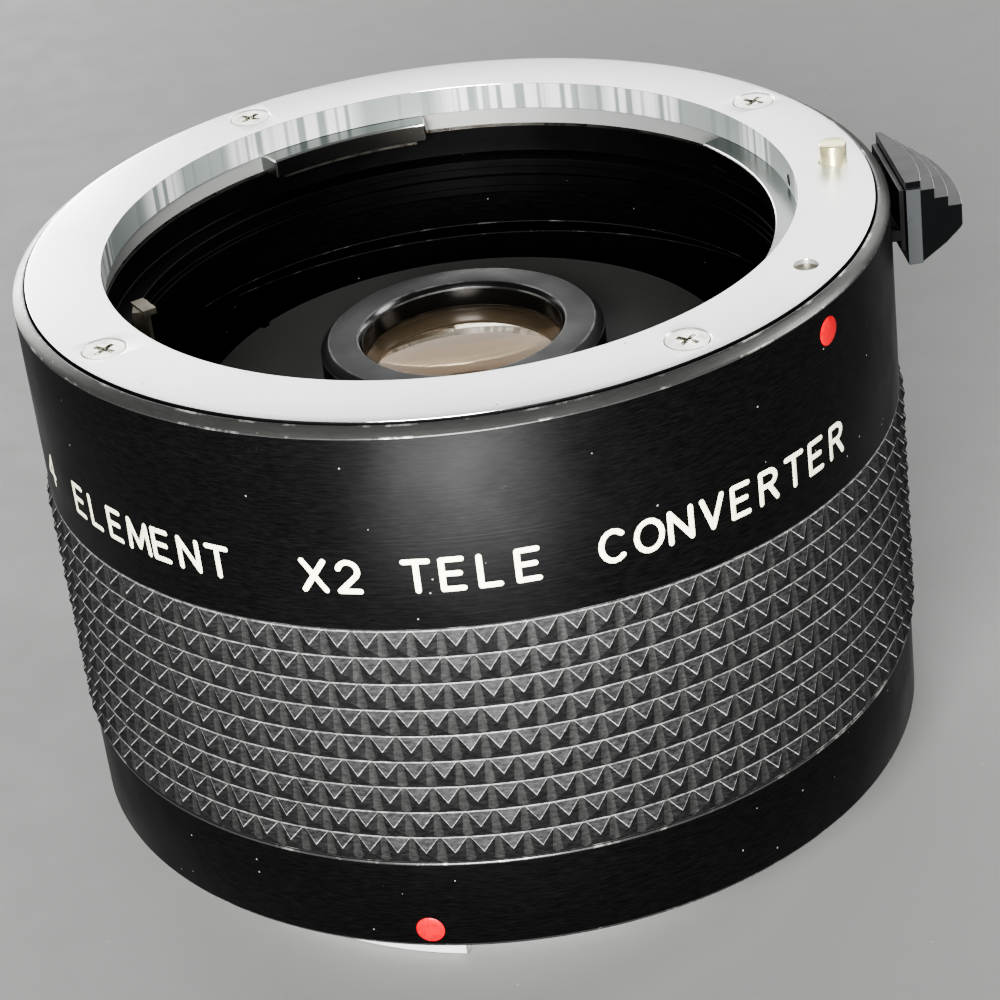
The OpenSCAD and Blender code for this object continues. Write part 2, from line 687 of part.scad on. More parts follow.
module release_plate() {
    half = tab_len / 2 - 0.35;
    color([0.1, 0.1, 0.1]) rotate([0, 0, pin_angle]) difference() {
        union() {
            translate([pocket_x0 + 0.15, -half, release_plate_z])
                cube([upright_x0 - pocket_x0, 2 * half, release_plate_t]);
            translate([upright_x0, -half, tab_bottom_z + 0.85])
                cube([upright_t, 2 * half, tab_top_z - tab_bottom_z - 1.5]);
        }
        translate([pin_circle_r, 0, release_plate_z - 1]) cylinder(r = tail_pin_r + 0.02, h = 3);
        for (s = [-1, 1]) translate([upright_x0 - 1, s * rivet_y, rivet_z])
            rotate([0, 90, 0]) cylinder(r = rivet_r + 0.02, h = 3);
    }
}

module release_tab() {
    long = 30;
    color([0.04, 0.04, 0.045]) rotate([0, 0, pin_angle]) difference() {
        for (i = [0 : terrace_n - 1])
            translate([0, 0, tab_bottom_z]) linear_extrude(tab_top_z - i * terrace_drop - tab_bottom_z)
                intersection() {
                    translate([tab_arc_x, tab_arc_y]) circle(r = tab_arc_r + i * terrace_w);
                    translate([tab_x0, -tab_len / 2]) square([long, tab_len]);
                }
        translate([0, tab_len, 0]) rotate([90, 0, 0]) linear_extrude(2 * tab_len) polygon([
            [tab_x0 + 1, tab_bottom_z - 1], [tab_x0 + 1, tab_bottom_z], [tab_x0 + 2.7, tab_bottom_z + 1.2],
            [tab_x0 + 3.75, tab_bottom_z + 2.2], [tab_x0 + tab_tip_w, tab_bottom_z + tab_tip_h],
            [tab_x0 + 8, tab_bottom_z + tab_tip_h], [tab_x0 + 8, tab_bottom_z - 1]
        ]);
        for (s = [-1, 1]) translate([tab_x0 - 1, s * rivet_y, rivet_z])
            rotate([0, 90, 0]) cylinder(r = rivet_r + 0.02, h = 2.6);
    }
}

module tab_rivets() {
    color([0.4, 0.4, 0.4]) rotate([0, 0, pin_angle]) for (s = [-1, 1])
        translate([upright_x0 + 0.02, s * rivet_y, rivet_z]) rotate([0, 90, 0])
            cylinder(r = rivet_r, h = upright_t + 1.5);
}

// A ring on the drum with two ears for its levers.
module coupling_ring(z, ear_a, ear_b) {
    band(ring_in_r, ring_out_r, z, ring_t);
    for (a = [ear_a, ear_b]) arc(ring_out_r - 0.3, ear_r, z, ring_t, a - ear_half, a + ear_half);
}

// A lever that stands on its ear and rises into the throat.
module front_lever(a, z0, z1) {
    rotate([0, 0, a]) {
        translate([lever_r0, -lever_w / 2, z0]) cube([lever_t, lever_w, z1 - z0]);
        translate([lever_r0 - 0.6, -lever_w / 2 - 0.5, z0]) cube([lever_t + 0.6, lever_w + 1, 0.6]);
    }
}

// The twisted head of the lever that the lens pushes.
module lever_head(a, z1) {
    rotate([0, 0, a]) translate([lever_r0 + lever_t / 2 - head_in, 0, z1 - head_t]) rotate([0, 0, head_twist])
        translate([-lever_t / 2, -lever_w / 2 - 0.1, 0]) cube([lever_t, lever_w + 0.2, head_t]);
}

// A lever that hangs from its ear and steps inwards into the rear tube.
module rear_lever(a, z1) {
    rotate([0, 0, a]) {
        translate([lever_r0, -lever_w / 2, jog_z]) cube([lever_t, lever_w, z1 - jog_z]);
        translate([rear_lever_r0, -lever_w / 2, jog_z])
            cube([lever_r0 + lever_t - rear_lever_r0, lever_w, lever_t]);
        translate([rear_lever_r0, -lever_w / 2, rear_lever_z0])
            cube([lever_t, lever_w, jog_z + lever_t - rear_lever_z0]);
    }
}

// An open wire ring on the drum with a leg beside an ear, on the side that the ear turns to.
module wire_spring(z, ear_z, ear_a, side) {
    leg_a = ear_a + side * (ear_half + 0.8);
    leg_r = ring_out_r + 0.6;
    rotate([0, 0, leg_a]) {
        rotate_extrude(angle = 320) translate([wire_coil_r, z]) circle(r = wire_r, $fn = 24);
        translate([wire_coil_r, 0, z]) rotate([0, 90, 0])
            cylinder(r = wire_r, h = leg_r - wire_coil_r + wire_r, $fn = 24);
        translate([leg_r, 0, ear_z + 0.2]) cylinder(r = wire_r, h = z - ear_z - 0.2, $fn = 24);
    }
}

module stop_down_ring() {
    color([0.15, 0.15, 0.15]) coupling_ring(stop_ring_z, stop_angle, stop_rear_angle);
}

module stop_down_front_lever() {
    color([0.7, 0.7, 0.68]) {
        front_lever(stop_angle, stop_ring_z + ring_t, total_h - stop_tip_depth - 0.1);
        lever_head(stop_angle, total_h - stop_tip_depth);
    }
}

module stop_down_rear_lever() {
    color([0.7, 0.7, 0.68]) rear_lever(stop_rear_angle, stop_ring_z);
}

module stop_down_spring() {
    color([0.6, 0.6, 0.6]) wire_spring(stop_wire_z, stop_ring_z, stop_angle, -1);
}

module aperture_ring() {
    color([0.15, 0.15, 0.15]) coupling_ring(aperture_ring_z, aperture_angle, aperture_rear_angle);
}

module aperture_front_lever() {
    color([0.7, 0.7, 0.68]) front_lever(aperture_angle, aperture_ring_z + ring_t, total_h - stop_tip_depth - 1.3);
}

module aperture_rear_lever() {
    color([0.7, 0.7, 0.68]) rear_lever(aperture_rear_angle, aperture_ring_z);
}

module aperture_spring() {
    color([0.6, 0.6, 0.6]) wire_spring(aperture_wire_z, aperture_ring_z, aperture_rear_angle, 1);
}

module ring_washer() {
    color([0.5, 0.45, 0.3]) band(ring_in_r, ring_out_r - 0.1, washer_z, washer_t);
}

module ring_clip() {
    color([0.3, 0.3, 0.3]) arc(clip_groove_r + seat_fit, ring_out_r - 0.2, clip_z, clip_t, clip_a0, clip_a0 + clip_sweep);
}

main_barrel();
grip_sleeve();
rear_ring();
front_bayonet();
flange_screws();
flange_dowel();
throat_stop_pin();
bayonet_spring();
throat_ring();
front_index_dot();
rear_index_dot();
optics_carrier();
carrier_screws();
lens_cell();
front_retaining_ring();
front_element();
spacer_front();
middle_negative();
middle_positive();
spacer_rear();
rear_element();
rear_retaining_ring();
rear_baffle();
mount_shim();
rear_bayonet();
rear_mount_screws();
lock_pin();
lock_pin_spring();
release_plate();
release_tab();
tab_rivets();
stop_down_ring();
stop_down_front_lever();
stop_down_rear_lever();
stop_down_spring();
aperture_ring();
aperture_front_lever();
aperture_rear_lever();
aperture_spring();
ring_washer();
ring_clip();
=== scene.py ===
"""Looks of a camera teleconverter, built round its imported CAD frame."""

import logging
import math
from dataclasses import dataclass, field
from enum import Enum

import bpy
from mathutils import Matrix, Vector


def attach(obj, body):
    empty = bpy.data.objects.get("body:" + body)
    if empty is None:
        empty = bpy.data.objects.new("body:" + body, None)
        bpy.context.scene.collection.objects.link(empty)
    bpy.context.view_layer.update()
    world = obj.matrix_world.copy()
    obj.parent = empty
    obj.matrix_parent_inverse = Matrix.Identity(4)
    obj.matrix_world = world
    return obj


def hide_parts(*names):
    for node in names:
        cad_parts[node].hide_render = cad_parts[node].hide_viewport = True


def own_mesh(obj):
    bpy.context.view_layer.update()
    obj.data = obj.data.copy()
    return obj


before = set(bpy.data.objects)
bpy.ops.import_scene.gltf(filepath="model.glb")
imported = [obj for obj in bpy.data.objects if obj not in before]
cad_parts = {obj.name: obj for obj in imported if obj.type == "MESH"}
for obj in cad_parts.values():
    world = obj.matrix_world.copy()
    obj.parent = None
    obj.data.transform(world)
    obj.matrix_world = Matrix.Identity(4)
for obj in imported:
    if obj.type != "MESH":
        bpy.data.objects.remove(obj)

LOG = logging.getLogger("teleconverter")
MM = 0.001
# Points nearer than these are one, in metres: in a turned piece, after a cut, and between cells of the grip
SEAM = 1e-7
CUT_SEAM = 2e-6
CELL_SEAM = 1e-6
# A piece with softened edges has their finish in its second slot
EDGE_SLOT = 1
# Sizes that several pieces share, in mm, and their places round the optical axis in degrees
BARREL_R = 30.25
FLANGE_Z = 40.1
PLATE_Z = 38.1
FOOT_Z = -5.1
PIN_CIRCLE_R = 27.03
RELEASE_TURN = 2.5
SCREW_TURN = 30.8
Pair = tuple[float, float]
Triple = tuple[float, float, float]
Profile = list[Pair]
Piece = bpy.types.Object
Tree = bpy.types.NodeTree
Node = bpy.types.Node
Socket = bpy.types.NodeSocket


class Body(Enum):
    """The CAD bodies that pieces ride on."""

    HOUSING = "housing"
    RELEASE = "release"
    STOP_DOWN = "stop_down"


class Cut(Enum):
    """What a second solid does to a piece."""

    TAKE_AWAY = "DIFFERENCE"
    JOIN = "UNION"
    KEEP_SHARED = "INTERSECT"


# Modelling by hand


def clear_selection() -> None:
    """Leaves edit mode and selects nothing."""
    if bpy.context.object is not None and bpy.context.object.mode != "OBJECT":
        bpy.ops.object.mode_set(mode="OBJECT")
    bpy.ops.object.select_all(action="DESELECT")


def take(piece: Piece) -> None:
    """Makes a piece the only selected and active one.

    Args:
        piece: the object to take.
    """
    clear_selection()
    piece.select_set(True)
    bpy.context.view_layer.objects.active = piece


def edit(piece: Piece) -> None:
    """Opens a piece in edit mode with all of it selected.

    Args:
        piece: the object to open.
    """
    take(piece)
    bpy.ops.object.mode_set(mode="EDIT")
    bpy.ops.mesh.select_all(action="SELECT")


def settle(piece: Piece) -> Piece:
    """Puts a piece's place into its mesh, closes its seams and turns its faces outwards.

    Args:
        piece: the object to settle.

    Returns:
        The same object, at the origin.
    """
    take(piece)
    bpy.ops.object.transform_apply(location=True, rotation=True, scale=True)
    edit(piece)
    bpy.ops.mesh.remove_doubles(threshold=SEAM)
    bpy.ops.mesh.normals_make_consistent(inside=False)
    bpy.ops.object.mode_set(mode="OBJECT")
    return piece


def stroke(name: str, points: list[Triple]) -> Piece:
    """Draws a line from point to point by extruding one vertex.

    Args:
        name: name of the new object.
        points: places in mm.

    Returns:
        An object that holds edges only.
    """
    clear_selection()
    bpy.ops.mesh.primitive_plane_add(size=MM)
    line = bpy.context.active_object
    line.name = name
    edit(line)
    bpy.ops.mesh.merge(type="CENTER")
    places = [Vector(p) * MM for p in points]
    bpy.ops.transform.translate(value=places[0])
    for here, there in zip(places, places[1:]):
        bpy.ops.mesh.extrude_region_move(TRANSFORM_OT_translate={"value": there - here})
    bpy.ops.object.mode_set(mode="OBJECT")
    return line


def wire(name: str, points: list[Triple], radius: float, ends: tuple[float, ...] = ()) -> Piece:
    """Draws a line and gives it a round section.

    Args:
        name: name of the new object.
        points: places in mm.
        radius: radius of the section in mm.
        ends: shares of the radius at the first points, and the same at the last ones.

    Returns:
        The wire as a mesh.
    """
    take(stroke(name, points))
    bpy.ops.object.convert(target="CURVE")
    line = bpy.context.active_object.data
    line.bevel_depth = radius * MM
    line.bevel_resolution = 2
    line.use_fill_caps = True
    row = line.splines[0].points
    for k, share in enumerate(ends):
        row[k].radius = share
        row[len(row) - 1 - k].radius = share
    bpy.ops.object.convert(target="MESH")
    return bpy.context.active_object


def lathe(name: str, profile: Profile, steps: int = 192, sweep: float = 360.0, start: float = 0.0) -> Piece:
    """Turns a closed profile round the optical axis.

    Args:
        name: name of the new object.
        profile: radius and height of each corner in mm.
        steps: flats in the sweep.
        sweep: degrees to turn.
        start: angle of the profile in degrees.

    Returns:
        The turned solid.
    """
    corners = [(r, 0.0, z) for r, z in profile]
    solid = stroke(name, [*corners, corners[0]])
    solid.rotation_euler = (0.0, 0.0, math.radians(start))
    settle(solid)
    edit(solid)
    if sweep < 360.0:
        bpy.ops.mesh.edge_face_add()
    bpy.ops.mesh.spin(
        steps=steps,
        angle=-math.radians(sweep),
        use_auto_merge=True,
        center=(0.0, 0.0, 0.0),
        axis=(0.0, 0.0, 1.0),
    )
    bpy.ops.object.mode_set(mode="OBJECT")
    return settle(solid)


def block(name: str, low: Triple, high: Triple, turn: float = 0.0) -> Piece:
    """Makes a rough block between two corners, turned about the optical axis.

    Args:
        name: name of the new object.
        low: lowest corner in mm.
        high: highest corner in mm.
        turn: degrees about Z.

    Returns:
        The block, ready to shape further.
    """
    clear_selection()
    middle = [(a + b) / 2 * MM for a, b in zip(low, high)]
    bpy.ops.mesh.primitive_cube_add(size=1.0, location=middle)
    solid = bpy.context.active_object
    solid.name = name
    solid.scale = [(b - a) * MM for a, b in zip(low, high)]
    bpy.ops.object.transform_apply(location=True, rotation=False, scale=True)
    solid.rotation_euler = (0.0, 0.0, math.radians(turn))
    return settle(solid)


def place_at(piece: Piece, radius: float, angle: float, height: float) -> Piece:
    """Carries a piece from the origin to a place on a circle.

    Args:
        piece: the object to move.
        radius: distance from the optical axis in mm.
        angle: degrees about the axis.
        height: z in mm.

    Returns:
        The piece, settled.
    """
    turn = math.radians(angle)
    piece.rotation_euler = (0.0, 0.0, turn)
    piece.location = (radius * MM * math.cos(turn), radius * MM * math.sin(turn), height * MM)
    return settle(piece)


def copy_of(piece: Piece) -> Piece:
    """Copies a piece with a mesh of its own.

    Args:
        piece: the object to copy.

    Returns:
        The copy.
    """
    take(piece)
    bpy.ops.object.duplicate(linked=False)
    return bpy.context.active_object


def joined(name: str, parts: list[Piece]) -> Piece:
    """Makes several objects one piece.

    Args:
        name: name of the piece.
        parts: objects to put together.

    Returns:
        The joined object.
    """
    take(parts[0])
    for part in parts:
        part.select_set(True)
    if len(parts) > 1:
        bpy.ops.object.join()
    bpy.context.active_object.name = name
    return bpy.context.active_object


def combine(piece: Piece, tools: list[Piece], how: Cut = Cut.TAKE_AWAY) -> None:
    """Changes a piece by other solids, removes them and merges doubled points.

    Args:
        piece: the object that stays.
        tools: the solids that act on it.
        how: what they do to it.
    """
    for tool in tools:
        take(piece)
        change = piece.modifiers.new("tool", "BOOLEAN")
        change.operation = how.value
        change.solver = "EXACT"
        change.object = tool
        bpy.ops.object.modifier_apply(modifier=change.name)
        bpy.data.objects.remove(tool, do_unlink=True)
    edit(piece)
    bpy.ops.mesh.remove_doubles(threshold=CUT_SEAM)
    bpy.ops.object.mode_set(mode="OBJECT")


def soften(piece: Piece, width: float, rows: int = 2, angle: float = 35.0, slot: int = -1) -> None:
    """Rounds the sharp edges of a piece.

    Args:
        piece: the object to round.
        width: width of the rounding in mm.
        rows: faces across the rounding.
        angle: edges sharper than this many degrees are rounded.
        slot: material slot of the rounded edges, or -1 for their neighbours' own.
    """
    take(piece)
    change = piece.modifiers.new("edge", "BEVEL")
    change.width = width * MM
    change.segments = rows
    change.limit_method = "ANGLE"
    change.angle_limit = math.radians(angle)
    change.material = slot
    change.use_clamp_overlap = True
    bpy.ops.object.modifier_apply(modifier=change.name)


# Finishes


def linear(code: str) -> tuple[float, float, float, float]:
    """Turns an sRGB hex colour to linear values.

    Args:
        code: six hex digits after a hash.

    Returns:
        Red, green, blue and full alpha.
    """
    parts = [int(code[i : i + 2], 16) / 255.0 for i in (1, 3, 5)]
    red, green, blue = [c / 12.92 if c <= 0.04045 else ((c + 0.055) / 1.055) ** 2.4 for c in parts]
    return red, green, blue, 1.0


@dataclass
class Ground:
    """What a finish is painted on: a material's nodes, its main shader and the place on the object in mm."""

    tree: Tree
    shader: Node
    mm: Socket | None = None

    def add(
        self,
        kind: str,
        values: dict[str | int, object] | None = None,
        links: dict[str | int, Socket] | None = None,
        out: str | int = 0,
        **settings: object,
    ) -> Socket:
        """Adds a shader node.

        Args:
            kind: Blender's name of the node after the words ShaderNode.
            values: numbers and colours for its inputs.
            links: sockets that feed its inputs.
            out: the output to give back.
            settings: the node's own options.

        Returns:
            The chosen output.
        """
        made = self.tree.nodes.new("ShaderNode" + kind)
        for key, option in settings.items():
            setattr(made, key, option)
        for key, value in (values or {}).items():
            made.inputs[key].default_value = value
        for key, socket in (links or {}).items():
            self.tree.links.new(socket, made.inputs[key])
        return made.outputs[out]

    def feed(self, name: str, socket: Socket) -> None:
        """Leads a socket into an input of the main shader."""
        self.tree.links.new(socket, self.shader.inputs[name])


@dataclass(frozen=True)
class Finish:
    """A surface with its colour and gloss. Each kind below adds what its making leaves to see."""

    name: str
    colour: str
    roughness: float
    metallic: float = 0.0
    specular: float = 0.5

    def detail(self, on: Ground) -> None:
        """Adds the pattern of the surface, which the kinds do."""

    def material(self) -> bpy.types.Material:
        """Makes the material on first use.

        Returns:
            The material.
        """
        found = bpy.data.materials.get(self.name)
        if found is not None:
            return found
        made = bpy.data.materials.new(self.name)
        made.use_nodes = True
        shader = made.node_tree.nodes["Principled BSDF"]
        shader.inputs["Base Color"].default_value = linear(self.colour)
        shader.inputs["Roughness"].default_value = self.roughness
        shader.inputs["Metallic"].default_value = self.metallic
        shader.inputs["Specular IOR Level"].default_value = self.specular
        on = Ground(made.node_tree, shader)
        place = on.add("TexCoord", out="Object")
        on.mm = on.add("Mapping", {"Scale": (1.0 / MM,) * 3}, {"Vector": place})
        self.detail(on)
        return made

    def spread_gloss(self, on: Ground, size: float, change: float) -> None:
        """Lets the gloss vary in soft patches.

        Args:
            on: what the finish is painted on.
            size: width of a patch in mm.
            change: most change of roughness either way.
        """
        cloud = on.add("TexNoise", {"Scale": 1.0 / size, "Detail": 3.0}, {"Vector": on.mm})
        low, high = self.roughness - change, self.roughness + change
        gloss = on.add(
            "MapRange",
            {"From Min": 0.35, "From Max": 0.65, "To Min": low, "To Max": high},
            {"Value": cloud},
        )
        on.feed("Roughness", gloss)

    def relief(self, on: Ground, height: Socket, depth: float) -> None:
        """Raises the surface by a pattern.

        Args:
            on: what the finish is painted on.
            height: the pattern, from 0 to 1.
            depth: its height in mm.
        """
        bump = on.add("Bump", {"Strength": 1.0, "Distance": depth * MM}, {"Height": height})
        on.feed("Normal", bump)

    def specks(self, on: Ground, apart: float, size: float, share: float) -> Socket:
        """Scatters small specks.

        Args:
            on: what the finish is painted on.
            apart: distance between cells in mm.
            size: radius of a speck as a share of its cell.
            share: share of cells that have none, from 0 to 1.

        Returns:
            1 on a speck and 0 elsewhere.
        """
        cells = on.add("TexVoronoi", {"Scale": 1.0 / apart}, {"Vector": on.mm}).node.outputs
        near = on.add("Math", {1: size}, {0: cells["Distance"]}, operation="LESS_THAN")
        tint = on.add("SeparateColor", None, {"Color": cells["Color"]})
        few = on.add("Math", {1: share}, {0: tint}, operation="GREATER_THAN")
        return on.add("Math", None, {0: near, 1: few}, operation="MULTIPLY")

    def two_tone(self, on: Ground, mask: Socket, other: str) -> None:
        """Colours the surface with a second colour where a mask says so.

        Args:
            on: what the finish is painted on.
            mask: 0 for the main colour, 1 for the other.
            other: the second colour.
        """
        tones = {6: linear(self.colour), 7: linear(other)}
        mix = on.add("Mix", tones, {0: mask}, out=2, data_type="RGBA")
        on.feed("Base Color", mix)


@dataclass(frozen=True)
class AnodisedTurned(Finish):
    """Black anodised aluminium, turned on a lathe: fine lines round the part, dust and small nicks."""

    # Turning lines are about 0.05 mm apart. They are drawn coarser, so that they show.
    line_mm: float = 0.22
    streak_mm: float = 1.0
    scuff_mm: float = 2.857
    dust: str = "#8C8A85"
    haze: float = 0.035

    def detail(self, on: Ground) -> None:
        """Adds turning lines, soft patches of gloss, a streaky haze, scuffs and dust.

        Args:
            on: what the finish is painted on.
        """
        split = on.add("SeparateXYZ", None, {"Vector": on.mm}).node.outputs
        lines = on.add(
            "TexNoise",
            {"Scale": 1.0 / self.line_mm, "Detail": 2.0},
            {"W": split["Z"]},
            noise_dimensions="1D",
        )
        self.relief(on, lines, depth=0.006)
        self.spread_gloss(on, size=6.0, change=0.05)
        drawn = on.add("Mapping", {"Scale": (1.0, 1.0, 9.0)}, {"Vector": on.mm})
        grain = on.add(
            "TexNoise", {"Scale": 1.0 / self.streak_mm, "Detail": 6.0, "Roughness": 0.75}, {"Vector": drawn}
        )
        film = on.add(
            "MapRange", {"From Min": 0.4, "From Max": 0.75, "To Max": self.haze}, {"Value": grain}
        )
        worn = on.add(
            "TexNoise", {"Scale": 1.0 / self.scuff_mm, "Detail": 9.0, "Roughness": 0.78}, {"Vector": on.mm}
        )
        scuff = on.add("MapRange", {"From Min": 0.68, "From Max": 0.78, "To Max": 0.6}, {"Value": worn})
        soft = on.add("Math", None, {0: film, 1: scuff}, operation="MAXIMUM")
        specks = self.specks(on, apart=1.2, size=0.06, share=0.6)
        dusty = on.add("Math", None, {0: soft, 1: specks}, operation="MAXIMUM")
        self.two_tone(on, dusty, self.dust)


@dataclass(frozen=True)
class EdgeWearAndGlint(Finish):
    """An edge with patches of a second colour: bare metal where handling has rubbed the black away, and on
    the tab a painted glint where its rounded edges would catch the light.
    """

    bare_and_glint: str = "#B9B8B2"
    patch_mm: float = 1.6
    share: float = 0.5

    def detail(self, on: Ground) -> None:
        """Adds patches of the second colour along the edge: bare metal on the barrel and the lens ring, a
        painted glint on the tab.

        Args:
            on: what the finish is painted on.
        """
        cloud = on.add(
            "TexNoise", {"Scale": 1.0 / self.patch_mm, "Detail": 5.0, "Roughness": 0.65}, {"Vector": on.mm}
        )
        bare_and_glint = on.add(
            "MapRange", {"From Min": self.share - 0.06, "From Max": self.share + 0.1}, {"Value": cloud}
        )
        self.two_tone(on, bare_and_glint, self.bare_and_glint)
        self.spread_gloss(on, size=2.0, change=0.06)


@dataclass(frozen=True)
class GripRubber(Finish):
    """Moulded black rubber: dull, finely grained, with grey dust left in its lines."""

    # The grain is about 0.05 mm wide. It is drawn coarser, so that it shows.
    grain_mm: float = 0.16
    film_mm: float = 0.294
    dust: str = "#3C3C3D"

    def detail(self, on: Ground) -> None:
        """Adds the grain, drawn out along the tool's lines, and a thin film of dust.

        Args:
            on: what the finish is painted on.
        """
        level = on.add("Mapping", {"Scale": (0.6, 0.6, 1.6)}, {"Vector": on.mm})
        grain = on.add("TexNoise", {"Scale": 1.0 / self.grain_mm, "Detail": 3.0}, {"Vector": level})
        self.relief(on, grain, depth=0.02)
        film = on.add(
            "TexNoise", {"Scale": 1.0 / self.film_mm, "Detail": 6.0, "Roughness": 0.8}, {"Vector": level}
        )
        mask = on.add("MapRange", {"From Min": 0.4, "From Max": 0.7}, {"Value": film})
        self.two_tone(on, mask, self.dust)
        self.spread_gloss(on, size=3.0, change=0.08)


@dataclass(frozen=True)
class BrushedChrome(Finish):
    """Chrome plating over turned brass: bright, with faint rings from the lathe and hairline scratches."""

    # The lathe's rings are about 0.03 mm apart. They are drawn coarser, so that they show.
    line_mm: float = 0.12
    scratch_mm: float = 0.833
    dust: str = "#8B8A84"

    def detail(self, on: Ground) -> None:
        """Adds rings round the axis and fine scratches.

        Args:
            on: what the finish is painted on.
        """
        split = on.add("SeparateXYZ", None, {"Vector": on.mm}).node.outputs
        flat = on.add("CombineXYZ", None, {"X": split["X"], "Y": split["Y"]})
        radius = on.add("VectorMath", None, {0: flat}, out="Value", operation="LENGTH")
        across = on.add("Math", None, {0: radius, 1: split["Z"]}, operation="ADD")
        rings = on.add(
            "TexNoise", {"Scale": 1.0 / self.line_mm, "Detail": 2.0}, {"W": across}, noise_dimensions="1D"
        )
        stretch = on.add(
            "Mapping", {"Scale": (0.2, 5.0, 1.0), "Rotation": (0.0, 0.0, 0.6)}, {"Vector": on.mm}
        )
        scratch = on.add(
            "TexNoise",
            {"Scale": 1.0 / self.scratch_mm, "Detail": 6.0, "Roughness": 0.75},
            {"Vector": stretch},
        )
        both = on.add("Math", {2: 0.35}, {0: scratch, 1: rings}, operation="MULTIPLY_ADD")
        self.relief(on, both, depth=0.0025)
        self.spread_gloss(on, size=9.0, change=0.02)
        self.two_tone(on, self.specks(on, apart=1.7, size=0.05, share=0.8), self.dust)


@dataclass(frozen=True)
class BoreWithPaintedReflections(Finish):
    """The satin wall of the throat, with groups of upright bars: painted reflections of a row of lights,
    also raised a little as bumps.
    """

    bar_mm: float = 0.9
    group_mm: float = 9.0
    bore_mm: float = 24.0
    shade: str = "#9CA4A1"

    def detail(self, on: Ground) -> None:
        """Adds the bars and the duller gaps between their groups, both painted reflections, and soft patches
        of gloss.

        Args:
            on: what the finish is painted on.
        """
        split = on.add("SeparateXYZ", None, {"Vector": on.mm}).node.outputs
        angle = on.add("Math", None, {0: split["Y"], 1: split["X"]}, operation="ARCTAN2")
        bars = on.add(
            "TexNoise",
            {"Scale": self.bore_mm / self.bar_mm, "Detail": 1.0},
            {"W": angle},
            noise_dimensions="1D",
        )
        dim = on.add("MapRange", {"From Min": 0.48, "From Max": 0.62}, {"Value": bars})
        groups = on.add(
            "TexNoise",
            {"Scale": self.bore_mm / self.group_mm, "Detail": 0.0},
            {"W": angle},
            noise_dimensions="1D",
        )
        gap = on.add("MapRange", {"From Min": 0.5, "From Max": 0.58, "To Max": 0.9}, {"Value": groups})
        mask = on.add("Math", None, {0: dim, 1: gap}, operation="MAXIMUM")
        self.two_tone(on, mask, self.shade)
        self.relief(on, bars, depth=0.012)
        self.spread_gloss(on, size=5.0, change=0.05)


@dataclass(frozen=True)
class MattCoat(Finish):
    """A matt coat that swallows stray light, with a fine tooth and a little dust."""

    # The tooth is about 0.05 mm wide. It is drawn coarser, so that it shows.
    tooth_mm: float = 0.3
    dust: str = "#4A4945"

    def detail(self, on: Ground) -> None:
        """Adds the tooth and the dust.

        Args:
            on: what the finish is painted on.
        """
        tooth = on.add("TexNoise", {"Scale": 1.0 / self.tooth_mm, "Detail": 4.0}, {"Vector": on.mm})
        self.relief(on, tooth, depth=0.01)
        self.two_tone(on, self.specks(on, apart=1.9, size=0.04, share=0.85), self.dust)
        self.spread_gloss(on, size=4.0, change=0.05)


@dataclass(frozen=True)
class Moulding(Finish):
    """Glossy black moulded plastic with the slight ripple of its tool."""

    ripple_mm: float = 0.9
    dust: str = "#55554F"

    def detail(self, on: Ground) -> None:
        """Adds the ripple and finger smears.

        Args:
            on: what the finish is painted on.
        """
        ripple = on.add("TexNoise", {"Scale": 1.0 / self.ripple_mm, "Detail": 3.0}, {"Vector": on.mm})
        self.relief(on, ripple, depth=0.003)
        self.spread_gloss(on, size=1.8, change=0.03)
        self.two_tone(on, self.specks(on, apart=1.1, size=0.05, share=0.8), self.dust)


@dataclass(frozen=True)
class DrawnMetal(Finish):
    """Bare steel or brass sheet, wire and turned pins: drawn lines and a thin brown film."""

    film: str = "#6E6A60"
    film_mm: float = 1.25
    # Drawn lines are about 0.02 mm apart. They are drawn coarser, so that they show.
    line_mm: float = 0.1

    def detail(self, on: Ground) -> None:
        """Adds drawn lines and the film.

        Args:
            on: what the finish is painted on.
        """
        along = on.add("Mapping", {"Scale": (1.0, 1.0, 0.15)}, {"Vector": on.mm})
        lines = on.add("TexNoise", {"Scale": 1.0 / self.line_mm, "Detail": 3.0}, {"Vector": along})
        self.relief(on, lines, depth=0.004)
        film = on.add("TexNoise", {"Scale": 1.0 / self.film_mm, "Detail": 4.0}, {"Vector": on.mm})
        mask = on.add("MapRange", {"From Min": 0.5, "From Max": 0.8, "To Max": 0.7}, {"Value": film})
        self.two_tone(on, mask, self.film)
        self.spread_gloss(on, size=1.5, change=0.07)


@dataclass(frozen=True)
class Enamel(Finish):
    """Paint run into an engraved mark: glossy, a little uneven."""

    pool_mm: float = 0.4545
    shade: str = "#C8C4A6"

    def detail(self, on: Ground) -> None:
        """Adds unevenness to height and colour.

        Args:
            on: what the finish is painted on.
        """
        cloud = on.add("TexNoise", {"Scale": 1.0 / self.pool_mm, "Detail": 3.0}, {"Vector": on.mm})
        self.relief(on, cloud, depth=0.03)
        mask = on.add("MapRange", {"From Min": 0.5, "From Max": 0.8}, {"Value": cloud})
        self.two_tone(on, mask, self.shade)
        self.spread_gloss(on, size=1.0, change=0.06)


@dataclass(frozen=True)
class OpticalGlass(Finish):
    """Polished optical glass with a thin anti-reflection coat and a few dust specks."""

    clear: float = 1.0
    ior: float = 1.6
    coat: str = "#C79A5E"
    dust: str = "#C9C6BE"

    def detail(self, on: Ground) -> None:
        """Lets light through, tints the reflections and adds dust.

        Args:
            on: what the finish is painted on.
        """
        on.shader.inputs["Transmission Weight"].default_value = self.clear
        on.shader.inputs["IOR"].default_value = self.ior
        on.shader.inputs["Specular Tint"].default_value = linear(self.coat)
        self.two_tone(on, self.specks(on, apart=1.3, size=0.03, share=0.8), self.dust)
        self.spread_gloss(on, size=3.0, change=0.015)


